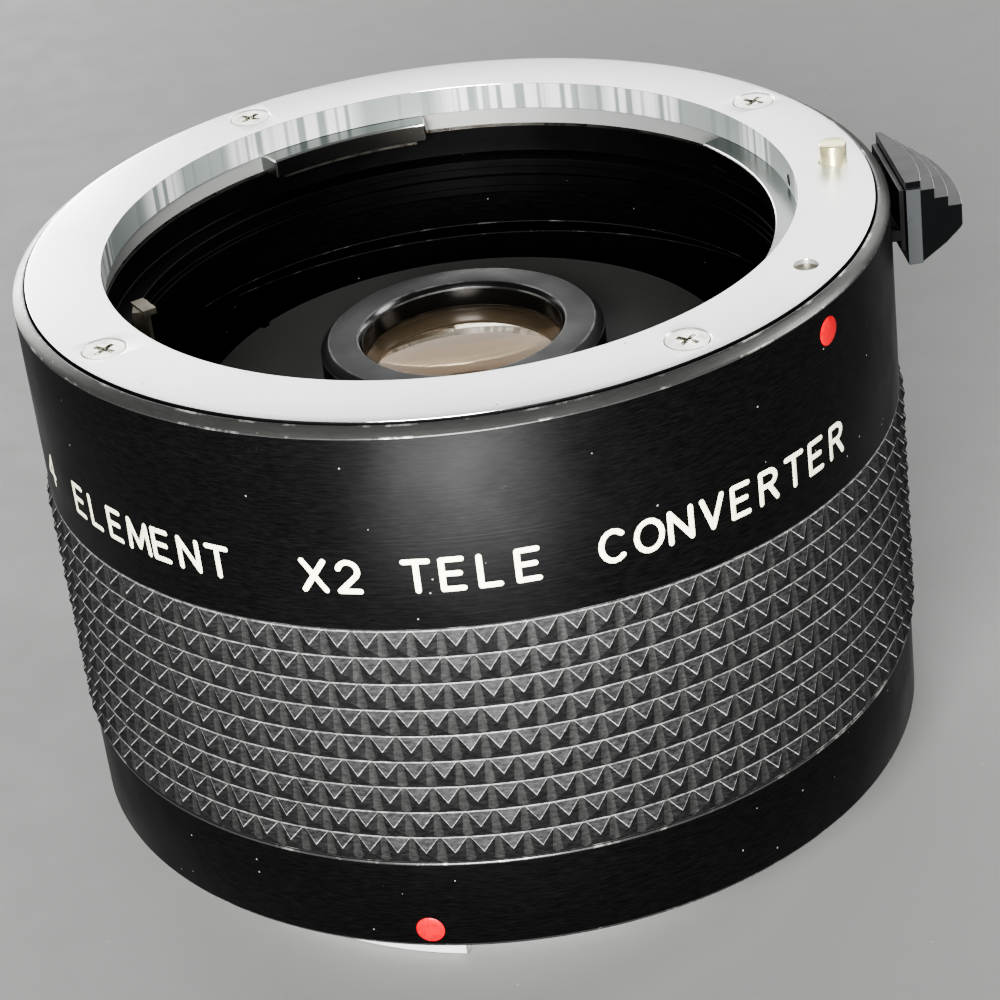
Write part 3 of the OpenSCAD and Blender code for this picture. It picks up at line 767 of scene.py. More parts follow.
# Deep satin black with fine lines round it, pale streaks and dust
BARREL_BLACK = AnodisedTurned("black_anodised_turned", "#080809", 0.36, specular=0.16)
# Mid grey slope round the front: partly worn black, partly painted reflection of the room
RIM_BLACK = AnodisedTurned("anodised_chamfer", "#5E5E5C", 0.36, 0.75, haze=0.2)
# Grey hairline along the barrel's edges, with short bare spots that shine
BARREL_EDGE = EdgeWearAndGlint("anodised_worn_edge", "#565655", 0.3, 0.6, bare_and_glint="#C6C5C0", patch_mm=2.4, share=0.6)
# Dull near black on the pyramids' flanks
RUBBER = GripRubber("moulded_grip_rubber", "#111112", 0.5, specular=0.25, dust="#343433")
# Dark grey upper faces: dust, and painted light, lighter as they face the light from above
RUBBER_TOP = GripRubber("grip_rubber_upper_face", "#1D1D1F", 0.55, specular=0.2, dust="#4C4C4B")
# Thin pale upper ridges: a painted highlight where their rounded edges would catch the light from above
RUBBER_RIDGE = GripRubber("grip_rubber_ridge_painted_highlight", "#626261", 0.5, dust="#C0C0BE")
# Thin grey line along the top of each row: dust, and a painted highlight where the row's edge would catch
# the light
RUBBER_LINE = GripRubber("grip_rubber_line_dust_and_highlight", "#4C4C4B", 0.5, dust="#A2A2A0")
# Grey in the round-bottomed grooves, a little glossier than the flanks: dust, and painted light where the
# grooves face the front
RUBBER_GROOVE = GripRubber("grip_rubber_groove_dust_and_sheen", "#242424", 0.45, specular=0.42, dust="#444443")
# Pale satin flange with broad soft reflections
CHROME = BrushedChrome("chrome_on_turned_brass", "#DEE0DD", 0.36, 0.7)
# Thin bright lines along the edges of the mounts
CHROME_EDGE = BrushedChrome("chrome_polished_edge", "#F2F2EE", 0.16, 1.0)
# Chrome on the lugs, darkened as painted shade, since they lie in shade
CHROME_LUG = BrushedChrome("chrome_on_lugs_painted_shade", "#7C7F7D", 0.26, 1.0)
# White throat wall with groups of upright grey bars: painted reflections, and the white is painted light on
# the wall
CHROME_BORE = BoreWithPaintedReflections("chrome_bore_painted_reflections", "#F3F6F3", 0.42, 0.35)
# Pale satin metal under the rear ring
CHROME_REAR = BrushedChrome("chrome_on_rear_mount", "#F2F4F1", 0.4, 0.45)
# Soft dark grey floor round the lens: the matt black lining is lightened, painted light for what falls into
# the cavity
LINING = MattCoat("matt_black_lining", "#4A4A48", 0.5, specular=0.4)
# Dark grey ring with a soft sheen
CELL_BLACK = MattCoat("black_anodised_cell", "#222222", 0.5, specular=0.5)
# Glossy black slope inside the lens ring
CELL_BORE = AnodisedTurned("black_anodised_bore", "#0C0C0B", 0.2, specular=0.8, haze=0.04)
# Faint grey outline of the lens ring
CELL_EDGE = EdgeWearAndGlint("black_anodised_cell_edge", "#2A2A2A", 0.4, bare_and_glint="#6A6A67", patch_mm=3.0, share=0.5)
# The deepest black, with faint lines at its steps
TRAP_BLACK = MattCoat("matt_black_light_trap", "#050505", 0.5, specular=0.25)
# Flat black behind the rear lens
BAFFLE = MattCoat("matt_black_moulding", "#0A0A0A", 0.66, specular=0.3)
# Nearly black steel with a dull gleam. It is also painted shade: in the stop pin's hole, on the flange's
# side in its narrow gap and on the stop pin deep in the throat
SHEET_BLACK_AND_SHADE = MattCoat("blackened_steel_and_painted_shade", "#101011", 0.4)
# Glossy black plastic with smears in its reflections
TAB_BLACK = Moulding("gloss_black_abs", "#121314", 0.22, specular=0.18)
# Grey end face of the tab: a painted reflection of the front light on the black plastic
TAB_FACE = Moulding("gloss_black_abs_end_painted_reflection", "#484A4B", 0.3, specular=0.3)
# Fine white arcs along the terraces' edges: a painted glint where the rounded edges would catch the light
TAB_EDGE_GLINT = EdgeWearAndGlint("gloss_black_abs_edge_painted_glint", "#C8C8C6", 0.3, bare_and_glint="#FFFFFF", patch_mm=0.9, share=0.5)
# Bright metal, a little warm
SCREW = DrawnMetal("nickelled_screw_steel", "#C9C8C2", 0.26, 1.0)
# Plain grey metal with drawn lines
STEEL = DrawnMetal("spring_steel_strip", "#B5B2AA", 0.3, 1.0)
# Dull brown grey metal
LEVER_STEEL = DrawnMetal("aged_lever_steel", "#827C70", 0.42, 0.6, film="#4A453C")
# Pale yellow metal
PALE_BRASS = DrawnMetal("pale_turned_brass", "#E9E2BC", 0.3, 0.7, film="#BDB07A")
# Yellow metal with a brown film
BRASS_SHEET = DrawnMetal("brass_shim_sheet", "#C9A65A", 0.3, 1.0, film="#86683A")
# Even bright red
RED_MARK = Enamel("red_enamel_mark", "#CB2429", 0.35, specular=0.3, shade="#B2181D")
# Cream letters that stand out from the black
CREAM_FILL = Enamel("cream_enamel_filling", "#F7F3DC", 0.42, shade="#E6E1C6")
# Clear glass with a warm tint
GLASS = OpticalGlass("coated_front_glass", "#BCA88C", 0.02, specular=0.2, clear=0.8, coat="#C08A48")
# Warm brown depth behind the front lens
AMBER_GLASS = OpticalGlass("amber_coated_glass", "#523C26", 0.03, specular=0.25, clear=0.12, coat="#E0A860")
# Clear glass with a blue tint in its reflections
REAR_GLASS = OpticalGlass("coated_inner_glass", "#F4F8F8", 0.02, coat="#9DB7C8")
# Even pale grey floor with soft shadows. Its tooth is drawn wide, so that the floor stays even.
PAPER = MattCoat("pale_paper_floor", "#888987", 0.8, tooth_mm=2.0, dust="#A4A4A1")


def give_finishes(piece: Piece, finishes: list[Finish]) -> None:
    """Gives a piece one material slot for each finish.

    Args:
        piece: the object.
        finishes: its finishes, in the order of the slots.
    """
    slots = piece.data.materials
    for index, finish in enumerate(finishes):
        if index == len(slots):
            slots.append(None)
        slots[index] = finish.material()


def dress(
    piece: Piece,
    body: Body,
    finishes: list[Finish],
    stands_for: tuple[str, ...] = (),
    crease: float = 16.0,
) -> Piece:
    """Gives a finished piece its materials and its body.

    Args:
        piece: the object to dress.
        body: the CAD body that it moves with.
        finishes: one finish for each material slot.
        stands_for: CAD nodes that it is shown in place of.
        crease: edges sharper than this many degrees stay sharp to the eye.

    Returns:
        The dressed piece.
    """
    give_finishes(piece, finishes)
    take(piece)
    bpy.ops.object.shade_smooth_by_angle(angle=math.radians(crease))
    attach(piece, body.value)
    if stands_for:
        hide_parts(*stands_for)
    LOG.info("piece %s: %d faces", piece.name, len(piece.data.polygons))
    return piece


# Sub-assemblies


@dataclass
class Barrel:
    """The black barrel and the plain ring behind the grip."""

    outer_r: float = BARREL_R
    seat_r: float = 29.0
    chamber_r: float = 27.2
    rim_r: float = 29.38
    bore_r: float = 25.3
    step_r: float = 24.6
    shelf_r: float = 25.2
    foot_z: float = 3.95
    grip_low_z: float = 7.6
    grip_high_z: float = 25.6
    rim_z: float = 39.85
    ledge_z: float = PLATE_Z
    trap_z: float = 31.4
    step_z: float = 28.4
    chamber_z: float = 26.4
    shelf_top_z: float = 17.3
    shelf_z: float = 15.3
    chamfer_w: float = 0.7
    chamfer_h: float = 0.5
    ring_in_r: float = 28.5
    ring_bore_r: float = 24.6
    ring_z: float = 0.5
    ring_floor_z: float = 1.95
    ring_bevel: float = 0.35
    ring_top_bevel: float = 0.15
    ring_fit: float = 0.03
    window: tuple[Triple, Triple] = ((25.58, -4.75, 33.55), (31.0, 4.75, PLATE_Z))
    window_turn: float = RELEASE_TURN

    def shell_profile(self) -> Profile:
        """Gives the barrel's section, from its foot round by the rim and back inside.

        Returns:
            Radius and height of each corner in mm.
        """
        return [
            (self.chamber_r, self.foot_z), (self.seat_r, self.foot_z), (self.seat_r, self.grip_high_z),
            (self.outer_r, self.grip_high_z), (self.outer_r, self.rim_z - self.chamfer_h),
            (self.outer_r - self.chamfer_w, self.rim_z), (self.rim_r, self.rim_z),
            (self.rim_r, self.ledge_z), (self.bore_r, self.ledge_z), (self.bore_r, self.trap_z),
            (self.step_r, self.trap_z), (self.step_r, self.step_z), (self.chamber_r, self.chamber_z),
            (self.chamber_r, self.shelf_top_z), (self.shelf_r, self.shelf_top_z),
            (self.shelf_r, self.shelf_z), (self.chamber_r, self.shelf_z),
        ]

    def ring_profile(self) -> Profile:
        """Gives the rear ring's section.

        Returns:
            Radius and height of each corner in mm.
        """
        lip = self.seat_r + self.ring_fit
        return [
            (self.ring_in_r, self.ring_z), (self.outer_r - self.ring_bevel, self.ring_z),
            (self.outer_r, self.ring_z + self.ring_bevel),
            (self.outer_r, self.grip_low_z - self.ring_top_bevel),
            (self.outer_r - self.ring_top_bevel, self.grip_low_z), (lip, self.grip_low_z),
            (lip, self.foot_z), (self.ring_bore_r, self.foot_z), (self.ring_bore_r, self.ring_floor_z),
            (self.ring_in_r, self.ring_floor_z),
        ]

    def finishes(self) -> list[Finish]:
        """Gives the skin, the worn edges and the chamfer, in the order of their slots."""
        return [BARREL_BLACK, BARREL_EDGE, RIM_BLACK]

    def mark_chamfer(self, piece: Piece) -> None:
        """Gives the sloping face of the front rim its brighter finish, whose grey is partly painted
        reflection.

        Args:
            piece: the barrel or the ring.
        """
        give_finishes(piece, self.finishes())
        chamfer = self.finishes().index(RIM_BLACK)
        for face in piece.data.polygons:
            high = face.center.z > (self.rim_z - self.chamfer_h - 0.1) * MM
            face.material_index = chamfer if high and 0.3 < abs(face.normal.z) < 0.95 else 0

    def build(self) -> None:
        """Turns the barrel and the ring, cuts the window and rounds the edges."""
        shell = lathe("barrel_shell", self.shell_profile(), steps=240)
        combine(shell, [block("window", *self.window, turn=self.window_turn)])
        self.mark_chamfer(shell)
        soften(shell, width=0.09, angle=30.0, slot=EDGE_SLOT)
        dress(shell, Body.HOUSING, self.finishes(), ("main_barrel",))
        ring = lathe("rear_collar", self.ring_profile(), steps=240)
        self.mark_chamfer(ring)
        soften(ring, width=0.08, angle=30.0, slot=EDGE_SLOT)
        dress(ring, Body.HOUSING, self.finishes(), ("rear_ring",))


@dataclass
class PyramidGrip:
    """The rubber sleeve: rows of pyramids between sharp row lines and round-bottomed upright grooves."""

    base_r: float = 30.2
    inner_r: float = 29.07
    low_z: float = 7.65
    high_z: float = 25.55
    rows: int = 9
    columns: int = 100
    grid: tuple[int, int] = (6, 5)
    tip: float = 0.42
    groove_rise: float = 0.02
    groove_share: float = 0.28
    groove_bell: float = 0.04
    line: float = 0.085
    ridge: float = 0.055

    def finishes(self) -> list[Finish]:
        """Gives flanks, ridges with a painted highlight, row lines, grooves and upper faces, in the order of
        their slots; the last three are partly painted light.
        """
        return [RUBBER, RUBBER_RIDGE, RUBBER_LINE, RUBBER_GROOVE, RUBBER_TOP]

    def height(self) -> float:
        """Gives the height of a cell in mm."""
        return (self.high_z - self.low_z) / self.rows

    def rise(self, across: float) -> float:
        """Gives the height of a cell's straight flanks, which run out into a round groove.

        Args:
            across: share of the cell's width from its middle.

        Returns:
            The height over the base radius in mm.
        """
        half = self.groove_share / 2
        slope = (self.tip - self.groove_rise) / (0.5 - half / 2)
        into = max(0.0, abs(across) - 0.5 + half)
        return self.tip - slope * abs(across) + slope * into * into / (2.0 * half)

    def place(self, column: int, level: int) -> Vector:
        """Gives a point of the grid its place on the pyramid.

        Args:
            column: 0 to 6 across the cell.
            level: 0 to 5 up the cell.

        Returns:
            The place in metres, in the lowest row at angle 0.
        """
        middle = self.grid[0] // 2
        out = abs(column - middle)
        edge = 0.5 - self.groove_share / 2
        lean = (0.0, -1.0, 1.0, 1.0, 1.0, 0.0)[level] * self.groove_bell
        across = (0.0, edge + lean, (edge + 0.5) / 2, 0.5)[out]
        rise = self.rise(across)
        top = 0.5 - self.line / self.height()
        band = (1.0, 0.5, 0.0, 0.0)[out] * self.ridge / self.height()
        crest = 0.5 * (self.tip - rise) / self.tip
        upper = min(crest, top - band)
        low = -crest - band
        up = (-0.5, low, max(upper - band, low), upper + band, top, 0.5)[level]
        radius = self.base_r + min(self.tip * (1.0 - 2.0 * abs(up)), rise)
        side = math.copysign(across, column - middle) * 2.0 * radius * math.tan(math.pi / self.columns)
        return Vector((radius, side, self.low_z + (0.5 + up) * self.height())) * MM

    def mark_faces(self, flat: Piece) -> None:
        """Gives the rows and columns of the flat grid their finishes.

        Args:
            flat: the grid, 1 wide and 1 high.
        """
        slots = self.finishes()
        # Painted highlight: only the band along the upper ridges, which face the light from above, takes the
        # ridge finish; the upper faces are lightened as painted light too
        levels = [RUBBER, RUBBER, RUBBER_RIDGE, RUBBER_TOP, RUBBER_LINE]
        for face in flat.data.polygons:
            level = math.floor((face.center.y + 0.5) * len(levels))
            groove = level == 1 and abs(face.center.x) > 1.0 / self.grid[0]
            face.material_index = slots.index(RUBBER_GROOVE if groove else levels[level])

    def pull_up(self, flat: Piece) -> None:
        """Pulls each point of the grid to its place on the pyramid.

        Args:
            flat: the grid, 1 wide and 1 high.
        """
        wide, high = self.grid
        places = [(round((p.co.x + 0.5) * wide), round((p.co.y + 0.5) * high)) for p in flat.data.vertices]
        for index, (column, level) in enumerate(places):
            edit(flat)
            bpy.ops.mesh.select_all(action="DESELECT")
            bpy.ops.object.mode_set(mode="OBJECT")
            point = flat.data.vertices[index]
            point.select = True
            step = self.place(column, level) - point.co
            bpy.ops.object.mode_set(mode="EDIT")
            bpy.ops.transform.translate(value=step)
        settle(flat)

    def cell(self) -> Piece:
        """Models one pyramid from a small grid, half a step round from angle 0.

        Returns:
            The cell, in the lowest row.
        """
        clear_selection()
        bpy.ops.mesh.primitive_grid_add(x_subdivisions=self.grid[0], y_subdivisions=self.grid[1], size=1.0)
        flat = bpy.context.active_object
        flat.name = "grip_skin"
        give_finishes(flat, self.finishes())
        self.mark_faces(flat)
        self.pull_up(flat)
        flat.rotation_euler = (0.0, 0.0, math.pi / self.columns)
        take(flat)
        bpy.ops.object.transform_apply(location=True, rotation=True, scale=True)
        return flat

    def close_ends(self, skin: Piece) -> None:
        """Turns the open skin into a sleeve with end faces and an inner wall.

        Args:
            skin: the ring of pyramids.
        """
        for level in (self.low_z, self.high_z):
            edit(skin)
            bpy.ops.mesh.select_all(action="DESELECT")
            bpy.ops.mesh.select_mode(type="EDGE")
            bpy.ops.mesh.select_non_manifold(extend=False)
            bpy.ops.object.mode_set(mode="OBJECT")
            points = skin.data.vertices
            for edge in skin.data.edges:
                here = all(abs(points[v].co.z - level * MM) < CELL_SEAM for v in edge.vertices)
                edge.select = edge.select and here
            bpy.ops.object.mode_set(mode="EDIT")
            shrink = self.inner_r / self.base_r
            bpy.ops.mesh.extrude_region_move(TRANSFORM_OT_translate={"value": (0.0, 0.0, 0.0)})
            bpy.ops.transform.resize(value=(shrink, shrink, 1.0), center_override=(0.0, 0.0, level * MM))
            bpy.ops.object.mode_set(mode="OBJECT")
        edit(skin)
        bpy.ops.mesh.select_all(action="DESELECT")
        bpy.ops.mesh.select_mode(type="EDGE")
        bpy.ops.mesh.select_non_manifold(extend=False)
        bpy.ops.mesh.bridge_edge_loops()
        bpy.ops.mesh.select_mode(type="VERT")
        bpy.ops.object.mode_set(mode="OBJECT")

    def build(self) -> None:
        """Copies the cell up the rows and round the columns, then closes the sleeve."""
        skin = self.cell()
        take(skin)
        rows = skin.modifiers.new("rows", "ARRAY")
        rows.count = self.rows
        rows.use_relative_offset = False
        rows.use_constant_offset = True
        rows.constant_offset_displace = (0.0, 0.0, self.height() * MM)
        bpy.ops.object.modifier_apply(modifier=rows.name)
        edit(skin)
        turn = 2.0 * math.pi * (self.columns - 1) / self.columns
        bpy.ops.mesh.spin(
            steps=self.columns - 1, dupli=True, angle=turn, center=(0.0, 0.0, 0.0), axis=(0.0, 0.0, 1.0)
        )
        bpy.ops.mesh.select_all(action="SELECT")
        bpy.ops.mesh.remove_doubles(threshold=CELL_SEAM)
        bpy.ops.object.mode_set(mode="OBJECT")
        self.close_ends(skin)
        settle(skin)
        dress(skin, Body.HOUSING, self.finishes(), ("grip_sleeve",), crease=14.0)


@dataclass
class CrossScrew:
    """A countersunk screw with a cross recess."""

    head_r: float = 1.42
    head_h: float = 0.75
    shank_r: float = 0.8
    length: float = 5.4
    recess_w: float = 0.36
    recess_r: float = 0.82
    recess_h: float = 0.35
    edge_h: float = 0.06
    cross_turn: float = 20.0

    def model(self, name: str) -> Piece:
        """Turns the screw at the origin with its face at height 0.

        Args:
            name: name of the object.

        Returns:
            The screw.
        """
        screw = lathe(
            name,
            [
                (0.0, -self.length), (self.shank_r, -self.length), (self.shank_r, -self.head_h),
                (self.head_r, -self.edge_h), (self.head_r, 0.0), (0.0, 0.0),
            ],
            steps=40,
        )
        half = self.recess_w / 2
        tools = [
            block("slot", (-self.recess_r, -half, -self.recess_h), (self.recess_r, half, 0.3), turn)
            for turn in (self.cross_turn, self.cross_turn + 90.0)
        ]
        combine(screw, tools)
        soften(screw, width=0.05, rows=1, angle=40.0)
        return screw

    def set_of(self, name: str, radius: float, first: float, height: float, down: bool = False) -> Piece:
        """Copies the screw to four places on a circle.

        Args:
            name: name of the set.
            radius: radius of the circle in mm.
            first: angle of the first screw in degrees.
            height: z of the screws' faces in mm.
            down: the faces look down.

        Returns:
            The four screws as one piece.
        """
        pattern = self.model("pattern_screw")
        if down:
            pattern.rotation_euler = (math.pi, 0.0, 0.0)
            settle(pattern)
        copies = [place_at(copy_of(pattern), radius, first + 90.0 * k, height) for k in range(4)]
        bpy.data.objects.remove(pattern, do_unlink=True)
        return joined(name, copies)


@dataclass
class Drill:
    """A tool for a hole in a mount's plate, wider at the face for a countersunk screw."""

    radius: float
    flare: float
    depth: float = 3.0
    flare_h: float = 0.8
    clear: float = 0.5
    over: float = 0.02

    def at(self, circle_r: float, angle: float, face_z: float, up: float = 1.0) -> Piece:
        """Turns the tool and sets it in a plate.

        Args:
            circle_r: distance from the optical axis in mm.
            angle: its place in degrees.
            face_z: z of the plate's face in mm.
            up: 1 for a face that looks up, -1 for one that looks down.

        Returns:
            The tool.
        """
        section = [
            (0.0, -self.depth), (self.radius, -self.depth), (self.radius, -self.flare_h),
            (self.flare, self.over), (self.flare, self.clear), (0.0, self.clear),
        ]
        tool = lathe("drill", [(r, z * up) for r, z in section], steps=40)
        return place_at(tool, circle_r, angle, face_z)


@dataclass
class FrontMount:
    """The bright front flange with its throat, lugs, screws and lining."""

    flange_r: float = 29.28
    face_z: float = FLANGE_Z
    plate_z: float = PLATE_Z
    lug_z: float = 36.7
    throat_r: float = 24.05
    relief_r: float = 24.453
    neck_r: float = 25.2
    lug_r: float = 22.4
    screw_circle_r: float = 27.0
    screw_angle: float = SCREW_TURN
    pin_angle: float = RELEASE_TURN
    dowel_angle: float = -33.2
    stop_pin_angle: float = 5.2
    stop_pin_z: float = 38.65
    stop_pin_seat_r: float = 0.42
    screw_hole_r: float = 0.95
    screw_flare_r: float = 1.56
    pin_hole_r: float = 1.0
    dowel_hole_r: float = 0.83
    lip_w: float = 0.5
    lip_drop: float = 0.1
    root: float = 0.1
    play: float = 0.01
    lugs: tuple[Pair, ...] = ((92.0, 123.0), (-36.4, 32.0), (206.0, 261.6))

    def pin_seat(self) -> Piece:
        """Makes the tool for the stop pin's cross hole in the wall of the throat; its faces give the hole's
        walls black, as painted shade.

        Returns:
            The tool.
        """
        seat_r, before, into = self.stop_pin_seat_r, -1.0, 1.2
        tool = lathe("drill", [(0.0, before), (seat_r, before), (seat_r, into), (0.0, into)], steps=32)
        tool.rotation_euler = (0.0, math.pi / 2, 0.0)
        settle(tool)
        for face in tool.data.polygons:
            face.material_index = self.finishes().index(SHEET_BLACK_AND_SHADE)
        return place_at(tool, self.throat_r, self.stop_pin_angle, self.stop_pin_z)

    def finishes(self) -> list[Finish]:
        """Gives flange, edges, throat wall with painted reflections, lugs with painted shade, and painted
        shade for the pin hole and side, in the order of their slots.
        """
        return [CHROME, CHROME_EDGE, CHROME_BORE, CHROME_LUG, SHEET_BLACK_AND_SHADE]

    def plate(self) -> Piece:
        """Turns the flange and cuts its holes.

        Returns:
            The flange without its lugs.
        """
        plate = lathe(
            "front_mount",
            [
                (self.relief_r, self.lug_z), (self.neck_r, self.lug_z), (self.neck_r, self.plate_z),
                (self.flange_r, self.plate_z), (self.flange_r, self.face_z - self.lip_drop),
                (self.flange_r - self.lip_w, self.face_z), (self.throat_r, self.face_z),
                (self.throat_r, self.plate_z), (self.relief_r, self.plate_z),
            ],
            steps=256,
        )
        kinds = [(self.screw_angle + 90.0 * k, self.screw_hole_r, self.screw_flare_r) for k in range(4)]
        kinds.append((self.pin_angle, self.pin_hole_r, self.pin_hole_r))
        kinds.append((self.dowel_angle, self.dowel_hole_r, self.dowel_hole_r))
        circle_r, face_z = self.screw_circle_r, self.face_z
        combine(plate, [Drill(r, flare).at(circle_r, angle, face_z) for angle, r, flare in kinds])
        slots = self.finishes()
        give_finishes(plate, slots)
        for face in plate.data.polygons:
            radius = math.hypot(face.center.x, face.center.y) / MM
            upright = abs(face.normal.z) < 0.1
            if upright and abs(radius - self.throat_r) < 0.05:
                face.material_index = slots.index(CHROME_BORE)
            elif upright and radius > self.flange_r - 0.05:
                # Painted shade: the flange's outer side, in its narrow gap inside the barrel's rim, is black
                face.material_index = slots.index(SHEET_BLACK_AND_SHADE)
        soften(plate, width=0.16, angle=40.0, slot=EDGE_SLOT)
        combine(plate, [self.pin_seat()])
        return plate

    def build(self) -> None:
        """Builds the flange with its lugs, its screws and the lining of the throat."""
        plate = self.plate()
        lugs = [self.lug(k, first, last) for k, (first, last) in enumerate(self.lugs)]
        mount = joined("front_mount", [plate, *lugs])
        dress(mount, Body.HOUSING, self.finishes(), ("front_bayonet",))
        screws = CrossScrew().set_of(
            "flange_screw_set", self.screw_circle_r, self.screw_angle, self.face_z - 0.05
        )
        dress(screws, Body.HOUSING, [SCREW], ("flange_screws",))
        self.line_throat()

    def lug(self, index: int, first: float, last: float) -> Piece:
        """Turns one lug of the bayonet.

        Args:
            index: number of the lug.
            first: angle of its first end in degrees.
            last: angle of its last end in degrees.

        Returns:
            The lug.
        """
        section = [
            (self.lug_r, self.lug_z + self.play), (self.relief_r + self.root, self.lug_z + self.play),
            (self.relief_r + self.root, self.plate_z - self.play), (self.lug_r, self.plate_z - self.play),
        ]
        steps = max(8, round((last - first) / 1.5))
        lug = lathe(f"lug_{index}", section, steps, last - first, first)
        give_finishes(lug, [CHROME_LUG, CHROME_EDGE])
        soften(lug, width=0.12, angle=40.0, slot=EDGE_SLOT)
        return lug

    def line_throat(self) -> None:
        """Turns the ridged black lining under the bayonet."""
        low, high, free = 31.4, 36.45, 34.5
        inner, outer = self.throat_r - 1.0, self.throat_r - 0.5
        step = (free - low) / 4
        lining = lathe(
            "throat_lining",
            [
                (self.neck_r, low), (self.neck_r, high), (self.relief_r, high), (self.relief_r, free),
                (inner, free - 0.2), (inner, free - step), (outer, free - step), (outer, free - 2 * step),
                (inner, free - 2 * step), (inner, free - 3 * step), (outer, free - 3 * step), (outer, low),
            ],
            steps=192,
        )
        soften(lining, width=0.06, rows=1, angle=40.0)
        dress(lining, Body.HOUSING, [TRAP_BLACK], ("throat_ring",))


@dataclass
class RearMount:
    """The bright rear bayonet that the object stands on."""

    tube_in_r: float = 20.6
    tube_r: float = 22.2
    spigot_r: float = 24.0
    plate_r: float = 28.4
    lug_r: float = 23.8
    tail_z: float = FOOT_Z
    plate_z: float = 1.8
    spigot_z: float = -1.8
    lug_h: float = 1.35
    lug_w: float = 57.0
    lug_mids: tuple[float, ...] = (-1.6, 89.4, -130.8)
    lug_root: float = 0.2
    screw_circle_r: float = 26.2
    screw_angle: float = SCREW_TURN
    screw_hole_r: float = 0.95
    screw_flare_r: float = 1.56
    screw_len: float = 3.6
    lock_circle_r: float = PIN_CIRCLE_R
    lock_angle: float = RELEASE_TURN
    lock_hole_r: float = 1.15

    def plate(self) -> Piece:
        """Turns the mount and cuts the holes for its screws and for the lock pin.

        Returns:
            The mount without its lugs.
        """
        plate = lathe(
            "rear_mount",
            [
                (self.tube_in_r, self.tail_z), (self.tube_r, self.tail_z), (self.tube_r, self.spigot_z),
                (self.spigot_r, self.spigot_z), (self.spigot_r, 0.0), (self.plate_r, 0.0),
                (self.plate_r, self.plate_z), (self.tube_in_r, self.plate_z),
            ],
            steps=256,
        )
        screw = Drill(self.screw_hole_r, self.screw_flare_r)
        lock = Drill(self.lock_hole_r, self.lock_hole_r)
        tools = [screw.at(self.screw_circle_r, self.screw_angle + 90.0 * k, 0.0, -1.0) for k in range(4)]
        combine(plate, [*tools, lock.at(self.lock_circle_r, self.lock_angle, 0.0, -1.0)])
        give_finishes(plate, self.finishes())
        soften(plate, width=0.14, angle=40.0, slot=EDGE_SLOT)
        return plate

    def finishes(self) -> list[Finish]:
        """Gives the mount and its polished edges, in the order of their slots."""
        return [CHROME_REAR, CHROME_EDGE]

    def build(self) -> None:
        """Builds the mount with its lugs and its screws."""
        low, high, root_r = self.tail_z, self.tail_z + self.lug_h, self.tube_r - self.lug_root
        section = [(root_r, low), (self.lug_r, low), (self.lug_r, high), (root_r, high)]
        parts = [self.plate()]
        for k, middle in enumerate(self.lug_mids):
            lug = lathe(f"tail_lug_{k}", section, 38, self.lug_w, middle - self.lug_w / 2)
            give_finishes(lug, self.finishes())
            soften(lug, width=0.12, angle=40.0, slot=EDGE_SLOT)
            parts.append(lug)
        mount = joined("rear_mount", parts)
        dress(mount, Body.HOUSING, self.finishes(), ("rear_bayonet",))
        screws = CrossScrew(length=self.screw_len).set_of(
            "rear_screw_set", self.screw_circle_r, self.screw_angle, 0.05, down=True
        )
        dress(screws, Body.HOUSING, [SCREW], ("rear_mount_screws",))


